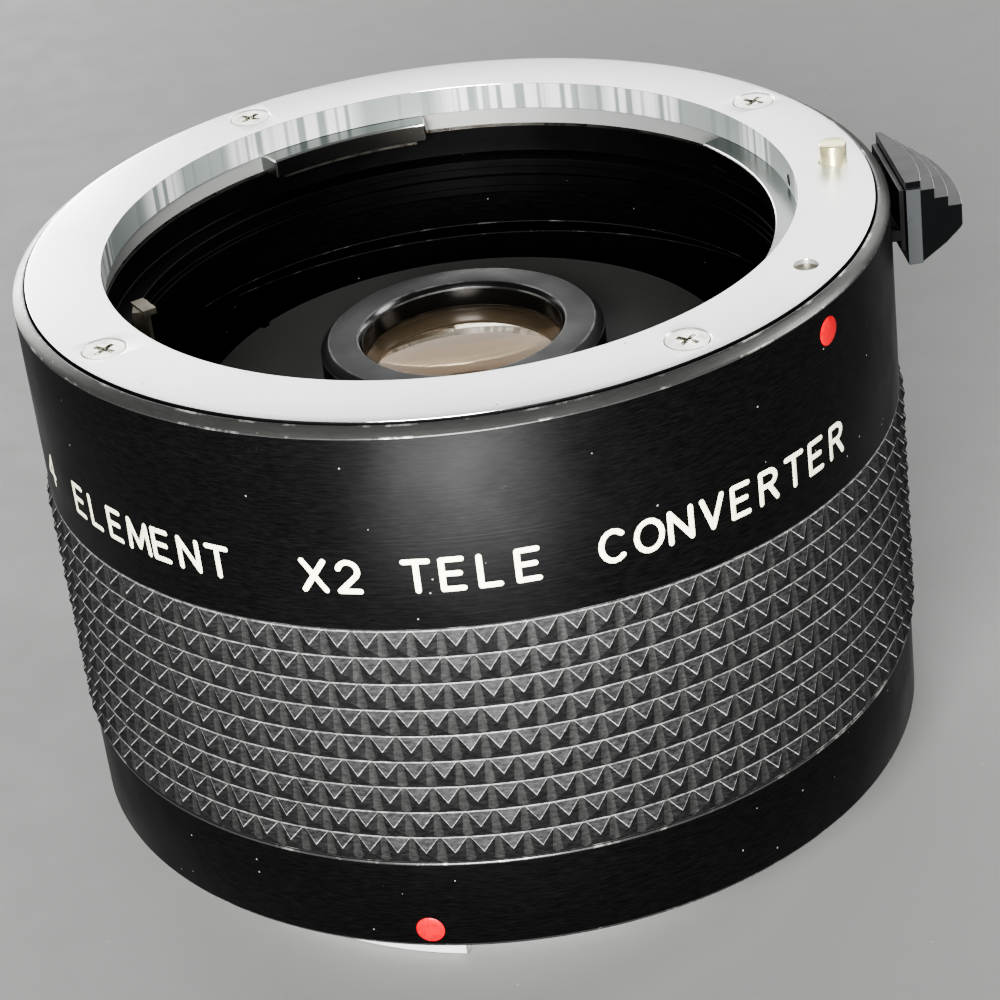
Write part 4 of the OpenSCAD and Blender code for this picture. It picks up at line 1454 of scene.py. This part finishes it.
@dataclass
class Release:
    """The lock pin, its black tab with four terraces and the bent plate between them."""

    turn: float = RELEASE_TURN
    pin_circle_r: float = PIN_CIRCLE_R
    pin_r: float = 0.95
    pin_top_z: float = 41.49
    plate_z: float = 35.3
    plate_x: float = 30.6
    tab_x: float = 31.0
    tab_top_z: float = 39.75
    tab_low_z: float = 33.65
    tab_half: float = 4.6
    arc_r: float = 15.85
    arc_x: float = 16.6
    arc_y: float = -1.1
    terraces: int = 4
    terrace_w: float = 0.92
    terrace_drop: float = 0.72
    pad_w: float = 1.0
    pad_out: float = 0.2
    # The underside's outline, in mm out and up from the tab's lower inner edge
    slope: tuple[Pair, ...] = (
        (1.0, -1.0), (1.0, 0.0), (2.7, 1.2), (3.75, 2.2), (4.4, 3.4), (8.0, 3.4), (8.0, -1.0)
    )
    bracket_in_x: float = 25.73
    bracket_t: float = 0.8
    bracket_in: float = 0.35
    bracket_lap: float = 0.15
    wall_low: float = 0.85
    wall_top: float = 0.65
    pin_low_z: float = 31.9
    stem_r: float = 0.6
    stem_z: float = 36.1
    collar_r: float = 1.2
    collar_z: float = 37.35
    collar_top_z: float = 38.05
    pocket_z: float = 32.7
    travel: float = 1.6
    coil_r: float = 0.9
    coil_turns: int = 4
    coil_steps: int = 20
    coil_wire_r: float = 0.14
    coil_play: float = 0.02

    def terrace(self, index: int) -> Piece:
        """Models one terrace as a block cut by its arc.

        Args:
            index: number of the terrace, 0 at the top.

        Returns:
            The terrace.
        """
        top = self.tab_top_z - index * self.terrace_drop
        reach = self.arc_x + self.arc_r + index * self.terrace_w + 0.5
        slab = block("terrace", (self.tab_x, -self.tab_half, self.tab_low_z), (reach, self.tab_half, top))
        radius = self.arc_r + index * self.terrace_w
        clear_selection()
        bpy.ops.mesh.primitive_cylinder_add(
            vertices=256,
            radius=radius * MM,
            depth=20 * MM,
            location=(self.arc_x * MM, self.arc_y * MM, self.tab_low_z * MM),
        )
        combine(slab, [settle(bpy.context.active_object)], Cut.KEEP_SHARED)
        return slab

    def finishes(self) -> list[Finish]:
        """Gives the tab's skin, its edges with a painted glint and its end face with a painted reflection,
        in the order of their slots.
        """
        return [TAB_BLACK, TAB_EDGE_GLINT, TAB_FACE]

    def underside(self) -> Piece:
        """Makes the tool that slopes the tab's underside up to its tip.

        Returns:
            The tool.
        """
        outline = [(self.tab_x + out, self.tab_low_z + up) for out, up in self.slope]
        tool = stroke("slope", [(a, -8.0, b) for a, b in [*outline, outline[0]]])
        edit(tool)
        bpy.ops.mesh.remove_doubles(threshold=SEAM)
        bpy.ops.mesh.select_all(action="SELECT")
        bpy.ops.mesh.edge_face_add()
        bpy.ops.mesh.extrude_region_move(TRANSFORM_OT_translate={"value": (0.0, 16.0 * MM, 0.0)})
        bpy.ops.object.mode_set(mode="OBJECT")
        return settle(tool)

    def keep_arcs(self, tab: Piece) -> None:
        """Leaves the edge's painted glint only along the terraces' arcs, where their rounded tops would
        catch the light.

        Args:
            tab: the tab, before it is turned to its place.
        """
        near_end = 0.1 - self.tab_half
        near = 0.12
        for face in tab.data.polygons:
            if face.material_index != EDGE_SLOT:
                continue
            x, y, z = (value / MM for value in face.center)
            reach = math.hypot(x - self.arc_x, y - self.arc_y) - self.arc_r
            step = min(max(round(reach / self.terrace_w), 0), self.terraces - 1)
            on_arc = abs(reach - step * self.terrace_w) < near
            on_top = abs(z - self.tab_top_z + step * self.terrace_drop) < near
            if y < near_end or not (on_arc and on_top):
                # Faces at the near end take the end face's painted reflection, the rest plain black
                at_end = y < near_end and z > self.tab_low_z + 0.2
                face.material_index = self.finishes().index(TAB_FACE if at_end else TAB_BLACK)

    def spring(self) -> None:
        """Winds the coil spring under the plate, which gets shorter as the pin goes down."""
        count = self.coil_turns * self.coil_steps
        space = self.plate_z - self.pocket_z
        rise = space - 2.0 * (self.coil_wire_r + self.coil_play)
        path = []
        for k in range(count + 1):
            angle = 2.0 * math.pi * k / self.coil_steps
            level = self.pocket_z + self.coil_wire_r + self.coil_play + rise * k / count
            path.append((self.coil_r * math.cos(angle), self.coil_r * math.sin(angle), level))
        coil = wire("pin_coil_spring", path, self.coil_wire_r)
        place_at(coil, self.pin_circle_r, self.turn, 0.0)
        dress(coil, Body.HOUSING, [STEEL], ("lock_pin_spring",), crease=60.0)
        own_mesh(coil)

    def tab(self) -> None:
        """Builds the tab from its terraces."""
        tab = self.terrace(0)
        pad = block(
            "pad",
            (self.tab_x, -self.tab_half - self.pad_out, self.tab_low_z),
            (self.tab_x + self.pad_w, 0.5 - self.tab_half, self.tab_top_z - 0.5),
        )
        combine(tab, [*[self.terrace(k) for k in range(1, self.terraces)], pad], Cut.JOIN)
        combine(tab, [self.underside()])
        edit(tab)
        bpy.ops.mesh.dissolve_limited(angle_limit=math.radians(0.5))
        bpy.ops.object.mode_set(mode="OBJECT")
        tab.name = "release_thumb_tab"
        finishes = self.finishes()
        give_finishes(tab, finishes)
        # The tab's end face takes the grey of a painted reflection
        for face in tab.data.polygons:
            at_end = face.center.y < -(self.tab_half + self.pad_out / 2) * MM
            face.material_index = finishes.index(TAB_FACE if at_end else TAB_BLACK)
        soften(tab, width=0.09, angle=30.0, slot=EDGE_SLOT)
        self.keep_arcs(tab)
        tab.rotation_euler = (0.0, 0.0, math.radians(self.turn))
        settle(tab)
        dress(tab, Body.RELEASE, finishes, ("release_tab",))

    def bracket(self) -> None:
        """Bends the plate between the tab and the pin."""
        half = self.tab_half - self.bracket_in
        floor = block(
            "plate",
            (self.bracket_in_x, -half, self.plate_z),
            (self.plate_x + self.bracket_lap, half, self.plate_z + self.bracket_t),
            self.turn,
        )
        wall = block(
            "wall",
            (self.plate_x, -half, self.tab_low_z + self.wall_low),
            (self.tab_x, half, self.tab_top_z - self.wall_top),
            self.turn,
        )
        combine(floor, [wall], Cut.JOIN)
        floor.name = "release_bracket"
        soften(floor, width=0.08, angle=40.0)
        dress(floor, Body.RELEASE, [SHEET_BLACK_AND_SHADE], ("release_plate",))

    def pin(self) -> None:
        """Turns the lock pin with its stem and collar."""
        pin = lathe(
            "lock_pin_turned",
            [
                (0.0, self.pin_low_z), (self.stem_r, self.pin_low_z), (self.stem_r, self.stem_z),
                (self.pin_r, self.stem_z), (self.pin_r, self.collar_z), (self.collar_r, self.collar_z),
                (self.collar_r, self.collar_top_z), (self.pin_r, self.collar_top_z),
                (self.pin_r, self.pin_top_z), (0.0, self.pin_top_z),
            ],
            steps=64,
        )
        place_at(pin, self.pin_circle_r, self.turn, 0.0)
        soften(pin, width=0.16, rows=3, angle=40.0)
        dress(pin, Body.RELEASE, [PALE_BRASS], ("lock_pin",), crease=30.0)

    def build(self) -> None:
        """Builds the tab, the plate, the pin and its spring."""
        self.tab()
        self.bracket()
        self.pin()
        self.spring()


@dataclass
class IndexMark:
    """A red enamel dot set in the barrel."""

    name: str
    node: str
    angle: float
    height: float
    barrel_r: float = BARREL_R
    radius: float = 0.98
    depth: float = 0.8
    crown: float = 0.12

    def build(self) -> None:
        """Turns a low dome, lays it on its side and sets it in the barrel."""
        dome = [(self.radius * math.cos(a), self.crown * math.sin(a)) for a in (0.0, 0.4, 0.8, 1.2)]
        dot = lathe(
            self.name, [(0.0, -self.depth), (self.radius, -self.depth), *dome, (0.0, self.crown)], steps=48
        )
        dot.rotation_euler = (0.0, math.pi / 2, 0.0)
        settle(dot)
        place_at(dot, self.barrel_r, self.angle, self.height)
        dress(dot, Body.HOUSING, [RED_MARK], (self.node,), crease=30.0)


@dataclass
class LensFront:
    """The ring round the front lens, the lens itself and the coupling lever beside it."""

    clear_r: float = 7.05
    skirt_r: float = 10.05
    top_z: float = 31.7
    cell_r: float = 9.23
    lens_r: float = 8.15
    lip_gap: float = 0.05
    ring_h: float = 1.6
    skirt_h: float = 1.3
    bevel: float = 0.6
    flare_w: float = 0.3
    flare_h: float = 0.4
    vertex_z: float = 30.6
    thick: float = 3.4
    front_curve: float = 32.0
    back_curve: float = 50.0
    lever_r: float = 21.5
    lever_t: float = 1.0
    lever_w: float = 1.9
    lever_angle: float = 179.5
    lever_low_z: float = 16.35
    lever_top_z: float = 36.4
    head_t: float = 0.45
    head_in: float = 0.25
    head_twist: float = 28.0
    foot_in: float = 0.6
    foot_side: float = 0.5
    foot_t: float = 0.6

    def sag(self, curve: float, radius: float) -> float:
        """Gives the height of a cap of this curve at a radius."""
        return curve - math.sqrt(curve * curve - radius * radius)

    def ring(self) -> None:
        """Turns the retaining ring."""
        lip = self.vertex_z - self.sag(self.front_curve, self.clear_r) + self.lip_gap
        low = self.top_z - self.ring_h
        ring = lathe(
            "lens_front_ring",
            [
                (self.clear_r, lip), (self.lens_r, lip), (self.lens_r, low), (self.cell_r, low),
                (self.cell_r, low - self.skirt_h), (self.skirt_r, low - self.skirt_h),
                (self.skirt_r, self.top_z - self.bevel), (self.skirt_r - self.bevel, self.top_z),
                (self.clear_r + self.flare_w, self.top_z), (self.clear_r, self.top_z - self.flare_h),
            ],
            steps=160,
        )
        finishes = [CELL_BLACK, CELL_EDGE, CELL_BORE]
        give_finishes(ring, finishes)
        for face in ring.data.polygons:
            wall = math.hypot(face.center.x, face.center.y) < (self.clear_r + 0.25) * MM
            face.material_index = finishes.index(CELL_BORE if wall and face.normal.z < 0.9 else CELL_BLACK)
        soften(ring, width=0.08, angle=30.0, slot=EDGE_SLOT)
        dress(ring, Body.HOUSING, finishes, ("front_retaining_ring",))

    def glass(self) -> None:
        """Turns the front lens from its two curves."""
        steps = 16
        rim = [self.lens_r * k / steps for k in range(steps + 1)]
        low = self.vertex_z - self.thick
        back = [(r, low + self.sag(self.back_curve, r)) for r in rim]
        front = [(r, self.vertex_z - self.sag(self.front_curve, r)) for r in reversed(rim)]
        lens = lathe("front_lens", [*back, *front], steps=96)
        dress(lens, Body.HOUSING, [GLASS], ("front_element",))

    def lever(self) -> None:
        """Shapes the stop-down lever from a strip with a bent foot."""
        half = self.lever_w / 2
        strip = block(
            "stop_down_finger",
            (self.lever_r, -half, self.lever_low_z),
            (self.lever_r + self.lever_t, half, self.lever_top_z - 0.1),
            self.lever_angle,
        )
        head = block(
            "head",
            (-self.lever_t / 2, -half - 0.1, self.lever_top_z - self.head_t),
            (self.lever_t / 2, half + 0.1, self.lever_top_z),
            self.head_twist,
        )
        place_at(head, self.lever_r + self.lever_t / 2 - self.head_in, self.lever_angle, 0.0)
        foot = block(
            "foot",
            (self.lever_r - self.foot_in, -half - self.foot_side, self.lever_low_z),
            (self.lever_r + self.lever_t, half + self.foot_side, self.lever_low_z + self.foot_t),
            self.lever_angle,
        )
        combine(strip, [head, foot], Cut.JOIN)
        soften(strip, width=0.08, angle=40.0)
        dress(strip, Body.STOP_DOWN, [LEVER_STEEL], ("stop_down_front_lever",))

    def build(self) -> None:
        """Builds ring, lens and lever."""
        self.ring()
        self.glass()
        self.lever()


def bow(cx: float, cy: float, rx: float, ry: float, first: float, last: float) -> Profile:
    """Draws part of an ellipse for a letter.

    Args:
        cx: middle, across.
        cy: middle, up.
        rx: half width.
        ry: half height.
        first: first angle in degrees.
        last: last angle in degrees.

    Returns:
        Points along the bow.
    """
    count = max(6, round(abs(last - first) / 22.0))
    angles = [math.radians(first + (last - first) * k / count) for k in range(count + 1)]
    return [(cx + rx * math.cos(a), cy + ry * math.sin(a)) for a in angles]


@dataclass
class Lettering:
    """Plain engraved letters filled with cream, that say only what kind of thing this is."""

    barrel_r: float = BARREL_R
    base_z: float = 28.5
    height: float = 2.1
    pitch: float = 2.36
    line_r: float = 0.2
    stand: float = 0.018
    caps: tuple[Pair, ...] = ((0.5, 0.866), (0.866, 0.5), (0.99, 0.14))
    words: tuple[tuple[str, float], ...] = (
        ("4", -162.0), ("ELEMENT", -151.5), ("X2", -111.5), ("TELE", -99.0), ("CONVERTER", -75.5)
    )

    def strokes(self, letter: str) -> list[Profile]:
        """Gives a letter's strokes in a box 1 high.

        Args:
            letter: the letter.

        Returns:
            Lists of points.
        """
        w = 0.72
        stem = [(0.0, 0.0), (0.0, 1.0)]
        forms = {
            "C": [bow(0.4, 0.5, 0.4, 0.5, 48.0, 312.0)],
            "E": [stem, [(0.0, 1.0), (0.6, 1.0)], [(0.0, 0.52), (0.52, 0.52)], [(0.0, 0.0), (0.6, 0.0)]],
            "L": [stem, [(0.0, 0.0), (0.56, 0.0)]],
            "M": [
                [(-0.06, 0.0), (0.0, 1.0)],
                [(0.0, 1.0), (0.4, 0.12)],
                [(0.4, 0.12), (0.8, 1.0)],
                [(0.8, 1.0), (0.86, 0.0)],
            ],
            "N": [stem, [(0.0, 1.0), (w, 0.0)], [(w, 0.0), (w, 1.0)]],
            "O": [bow(0.42, 0.5, 0.42, 0.5, 90.0, 270.0), bow(0.42, 0.5, 0.42, 0.5, 270.0, 450.0)],
            "R": [
                stem,
                [(0.0, 1.0), (0.36, 1.0), *bow(0.36, 0.76, 0.27, 0.24, 90.0, -90.0), (0.0, 0.52)],
                [(0.34, 0.52), (0.66, 0.0)],
            ],
            "T": [[(0.0, 1.0), (w, 1.0)], [(w / 2, 1.0), (w / 2, 0.0)]],
            "V": [[(0.0, 1.0), (w / 2, 0.0)], [(w / 2, 0.0), (w, 1.0)]],
            "X": [[(0.0, 0.0), (0.68, 1.0)], [(0.0, 1.0), (0.68, 0.0)]],
            "4": [[(0.5, 0.0), (0.5, 1.0)], [(0.5, 1.0), (0.0, 0.32)], [(0.0, 0.32), (0.7, 0.32)]],
            "2": [
                bow(0.3, 0.7, 0.3, 0.3, 165.0, -35.0), [(0.55, 0.53), (0.0, 0.0)], [(0.0, 0.0), (0.62, 0.0)]
            ],
        }
        return forms[letter]

    def letter(self, sign: str, angle: float) -> Piece:
        """Draws a letter with a round tool and lays it on the barrel.

        Args:
            sign: the letter.
            angle: place of its middle in degrees.

        Returns:
            The letter as a mesh.
        """
        parts = []
        ends = tuple(share for _, share in reversed(self.caps))
        for points in self.strokes(sign):
            path = [Vector((x - 0.36, y, 0.0)) * self.height for x, y in points]
            back = (path[0] - path[1]).normalized() * self.line_r
            on = (path[-1] - path[-2]).normalized() * self.line_r
            head = [back * reach + path[0] for reach, _ in reversed(self.caps)]
            tail = [on * reach + path[-1] for reach, _ in self.caps]
            line = [tuple(p) for p in [*head, *path, *tail]]
            parts.append(wire("letter", line, self.line_r, ends))
        sign_mesh = joined("letter", parts)
        sign_mesh.scale = (1.0, 1.0, self.stand / self.line_r)
        settle(sign_mesh)
        turn = math.radians(angle)
        out = Vector((math.cos(turn), math.sin(turn), 0.0))
        along = Vector((-math.sin(turn), math.cos(turn), 0.0))
        place = Matrix((along, Vector((0.0, 0.0, 1.0)), out)).transposed().to_4x4()
        place.translation = out * self.barrel_r * MM + Vector((0.0, 0.0, self.base_z * MM))
        sign_mesh.matrix_world = place
        return settle(sign_mesh)

    def build(self) -> None:
        """Draws all the words as one piece."""
        step = math.degrees(self.pitch / self.barrel_r)
        signs = []
        for word, first in self.words:
            for k, sign in enumerate(word):
                signs.append(self.letter(sign, first + k * step))
        words = joined("plain_engraving", signs)
        dress(words, Body.HOUSING, [CREAM_FILL], crease=40.0)


@dataclass
class InnerParts:
    """The CAD pieces that are shown as they are, with a finish each."""

    finishes: dict[str, Finish] = field(
        default_factory=lambda: {
            "flange_dowel": LEVER_STEEL,
            # Painted shade: the stop pin, deep in the throat, is given black
            "throat_stop_pin": SHEET_BLACK_AND_SHADE,
            "bayonet_spring": STEEL,
            "optics_carrier": LINING,
            "carrier_screws": SCREW,
            "lens_cell": CELL_BLACK,
            "spacer_front": LINING,
            "middle_negative": AMBER_GLASS,
            "middle_positive": REAR_GLASS,
            "spacer_rear": LINING,
            "rear_element": REAR_GLASS,
            "rear_retaining_ring": CELL_BLACK,
            "rear_baffle": BAFFLE,
            "mount_shim": BRASS_SHEET,
            "tab_rivets": SCREW,
            "stop_down_ring": SHEET_BLACK_AND_SHADE,
            "stop_down_rear_lever": LEVER_STEEL,
            "stop_down_spring": STEEL,
            "aperture_ring": SHEET_BLACK_AND_SHADE,
            "aperture_front_lever": LEVER_STEEL,
            "aperture_rear_lever": LEVER_STEEL,
            "aperture_spring": STEEL,
            "ring_washer": BRASS_SHEET,
            "ring_clip": SHEET_BLACK_AND_SHADE,
        },
    )

    def build(self) -> None:
        """Gives each CAD piece its finish."""
        for name, finish in self.finishes.items():
            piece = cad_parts[name]
            piece.data.materials.clear()
            piece.data.materials.append(finish.material())
            LOG.info("CAD piece %s: %s", name, finish.name)


@dataclass
class Studio:
    """Pale floor, soft lights and the camera at the photograph's place."""

    floor_z: float = FOOT_Z
    floor_m: float = 6.0
    sensor_mm: float = 36.0
    flange_z: float = FLANGE_Z
    camera_back: float = 191.008
    camera_up: float = 84.251
    focal_px: float = 3017.94
    frame_px: float = 1000.0
    yaw: float = 0.3478
    pitch: float = 29.2346
    roll: float = 7.1797
    room: str = "#C9CBCD"
    room_light: float = 0.22
    lamps: tuple[tuple[str, Triple, Triple, Pair, float], ...] = (
        ("back_soft_light", (0.0, 437.0, 282.0), (0.0, 0.0, 40.0), (1000.0, 230.0), 1.9),
        ("front_soft_light", (-70.0, -420.0, 190.0), (0.0, -20.0, 15.0), (200.0, 200.0), 4.5),
        ("right_soft_light", (380.0, 60.0, 280.0), (0.0, 0.0, 38.0), (150.0, 150.0), 0.6),
        ("low_front_light", (-5.0, -80.0, 26.0), (-5.0, 0.0, 144.0), (40.0, 34.0), 0.065),
        ("rear_soft_light", (-190.0, 400.0, 85.0), (0.0, 0.0, 18.0), (220.0, 170.0), 1.0),
    )

    def floor(self) -> None:
        """Lays a wide pale floor."""
        clear_selection()
        bpy.ops.mesh.primitive_plane_add(size=self.floor_m, location=(0.0, 0.0, self.floor_z * MM))
        plane = bpy.context.active_object
        plane.name = "studio_floor"
        settle(plane)
        give_finishes(plane, [PAPER])

    def lamp(self, name: str, place: Triple, target: Triple, size: Pair, power: float) -> None:
        """Hangs a soft light.

        Args:
            name: name of the light.
            place: where it hangs, in mm.
            target: where it looks, in mm.
            size: its width and height in mm.
            power: its power in watts.
        """
        clear_selection()
        here = Vector(place) * MM
        bpy.ops.object.light_add(type="AREA", location=here)
        light = bpy.context.active_object
        light.name = name
        light.data.shape = "RECTANGLE"
        light.data.size = size[0] * MM
        light.data.size_y = size[1] * MM
        light.data.energy = power
        light.visible_camera = False
        light.rotation_euler = (Vector(target) * MM - here).to_track_quat("-Z", "Y").to_euler()

    def camera(self) -> None:
        """Sets the camera from the solved view."""
        yaw, pitch, roll = (math.radians(a) for a in (self.yaw, self.pitch, self.roll))
        ahead = Vector((math.sin(yaw) * math.cos(pitch), math.cos(yaw) * math.cos(pitch), -math.sin(pitch)))
        right = Vector((math.cos(yaw), -math.sin(yaw), 0.0))
        down = ahead.cross(right)
        across = right * math.cos(roll) + down * math.sin(roll)
        below = down * math.cos(roll) - right * math.sin(roll)
        clear_selection()
        bpy.ops.object.camera_add()
        eye = bpy.context.active_object
        turn = Matrix((across, -below, -ahead)).transposed().to_4x4()
        turn.translation = Vector((0.0, -self.camera_back * MM, (self.flange_z + self.camera_up) * MM))
        eye.matrix_world = turn
        eye.data.sensor_width = self.sensor_mm
        eye.data.lens = self.sensor_mm * self.focal_px / self.frame_px
        eye.data.clip_start = 0.005
        bpy.context.scene.camera = eye

    def build(self) -> None:
        """Sets floor, lights, world and camera."""
        self.floor()
        for lamp in self.lamps:
            self.lamp(*lamp)
        world = bpy.data.worlds.new("soft_room")
        world.use_nodes = True
        sky = world.node_tree.nodes["Background"]
        sky.inputs["Color"].default_value = linear(self.room)
        sky.inputs["Strength"].default_value = self.room_light
        bpy.context.scene.world = world
        bpy.context.scene.view_settings.view_transform = "AgX"
        bpy.context.scene.view_settings.look = "AgX - High Contrast"
        self.camera()


def main() -> None:
    """Builds the object in order."""
    logging.basicConfig(level=logging.INFO, format="%(message)s")
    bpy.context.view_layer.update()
    InnerParts().build()
    Barrel().build()
    PyramidGrip().build()
    FrontMount().build()
    RearMount().build()
    Release().build()
    IndexMark("front_red_dot", "front_index_dot", -40.1, 37.53).build()
    IndexMark("rear_red_dot", "rear_index_dot", -103.7, 2.1).build()
    LensFront().build()
    Lettering().build()
    Studio().build()
    clear_selection()


if __name__ == "__main__":
    main()
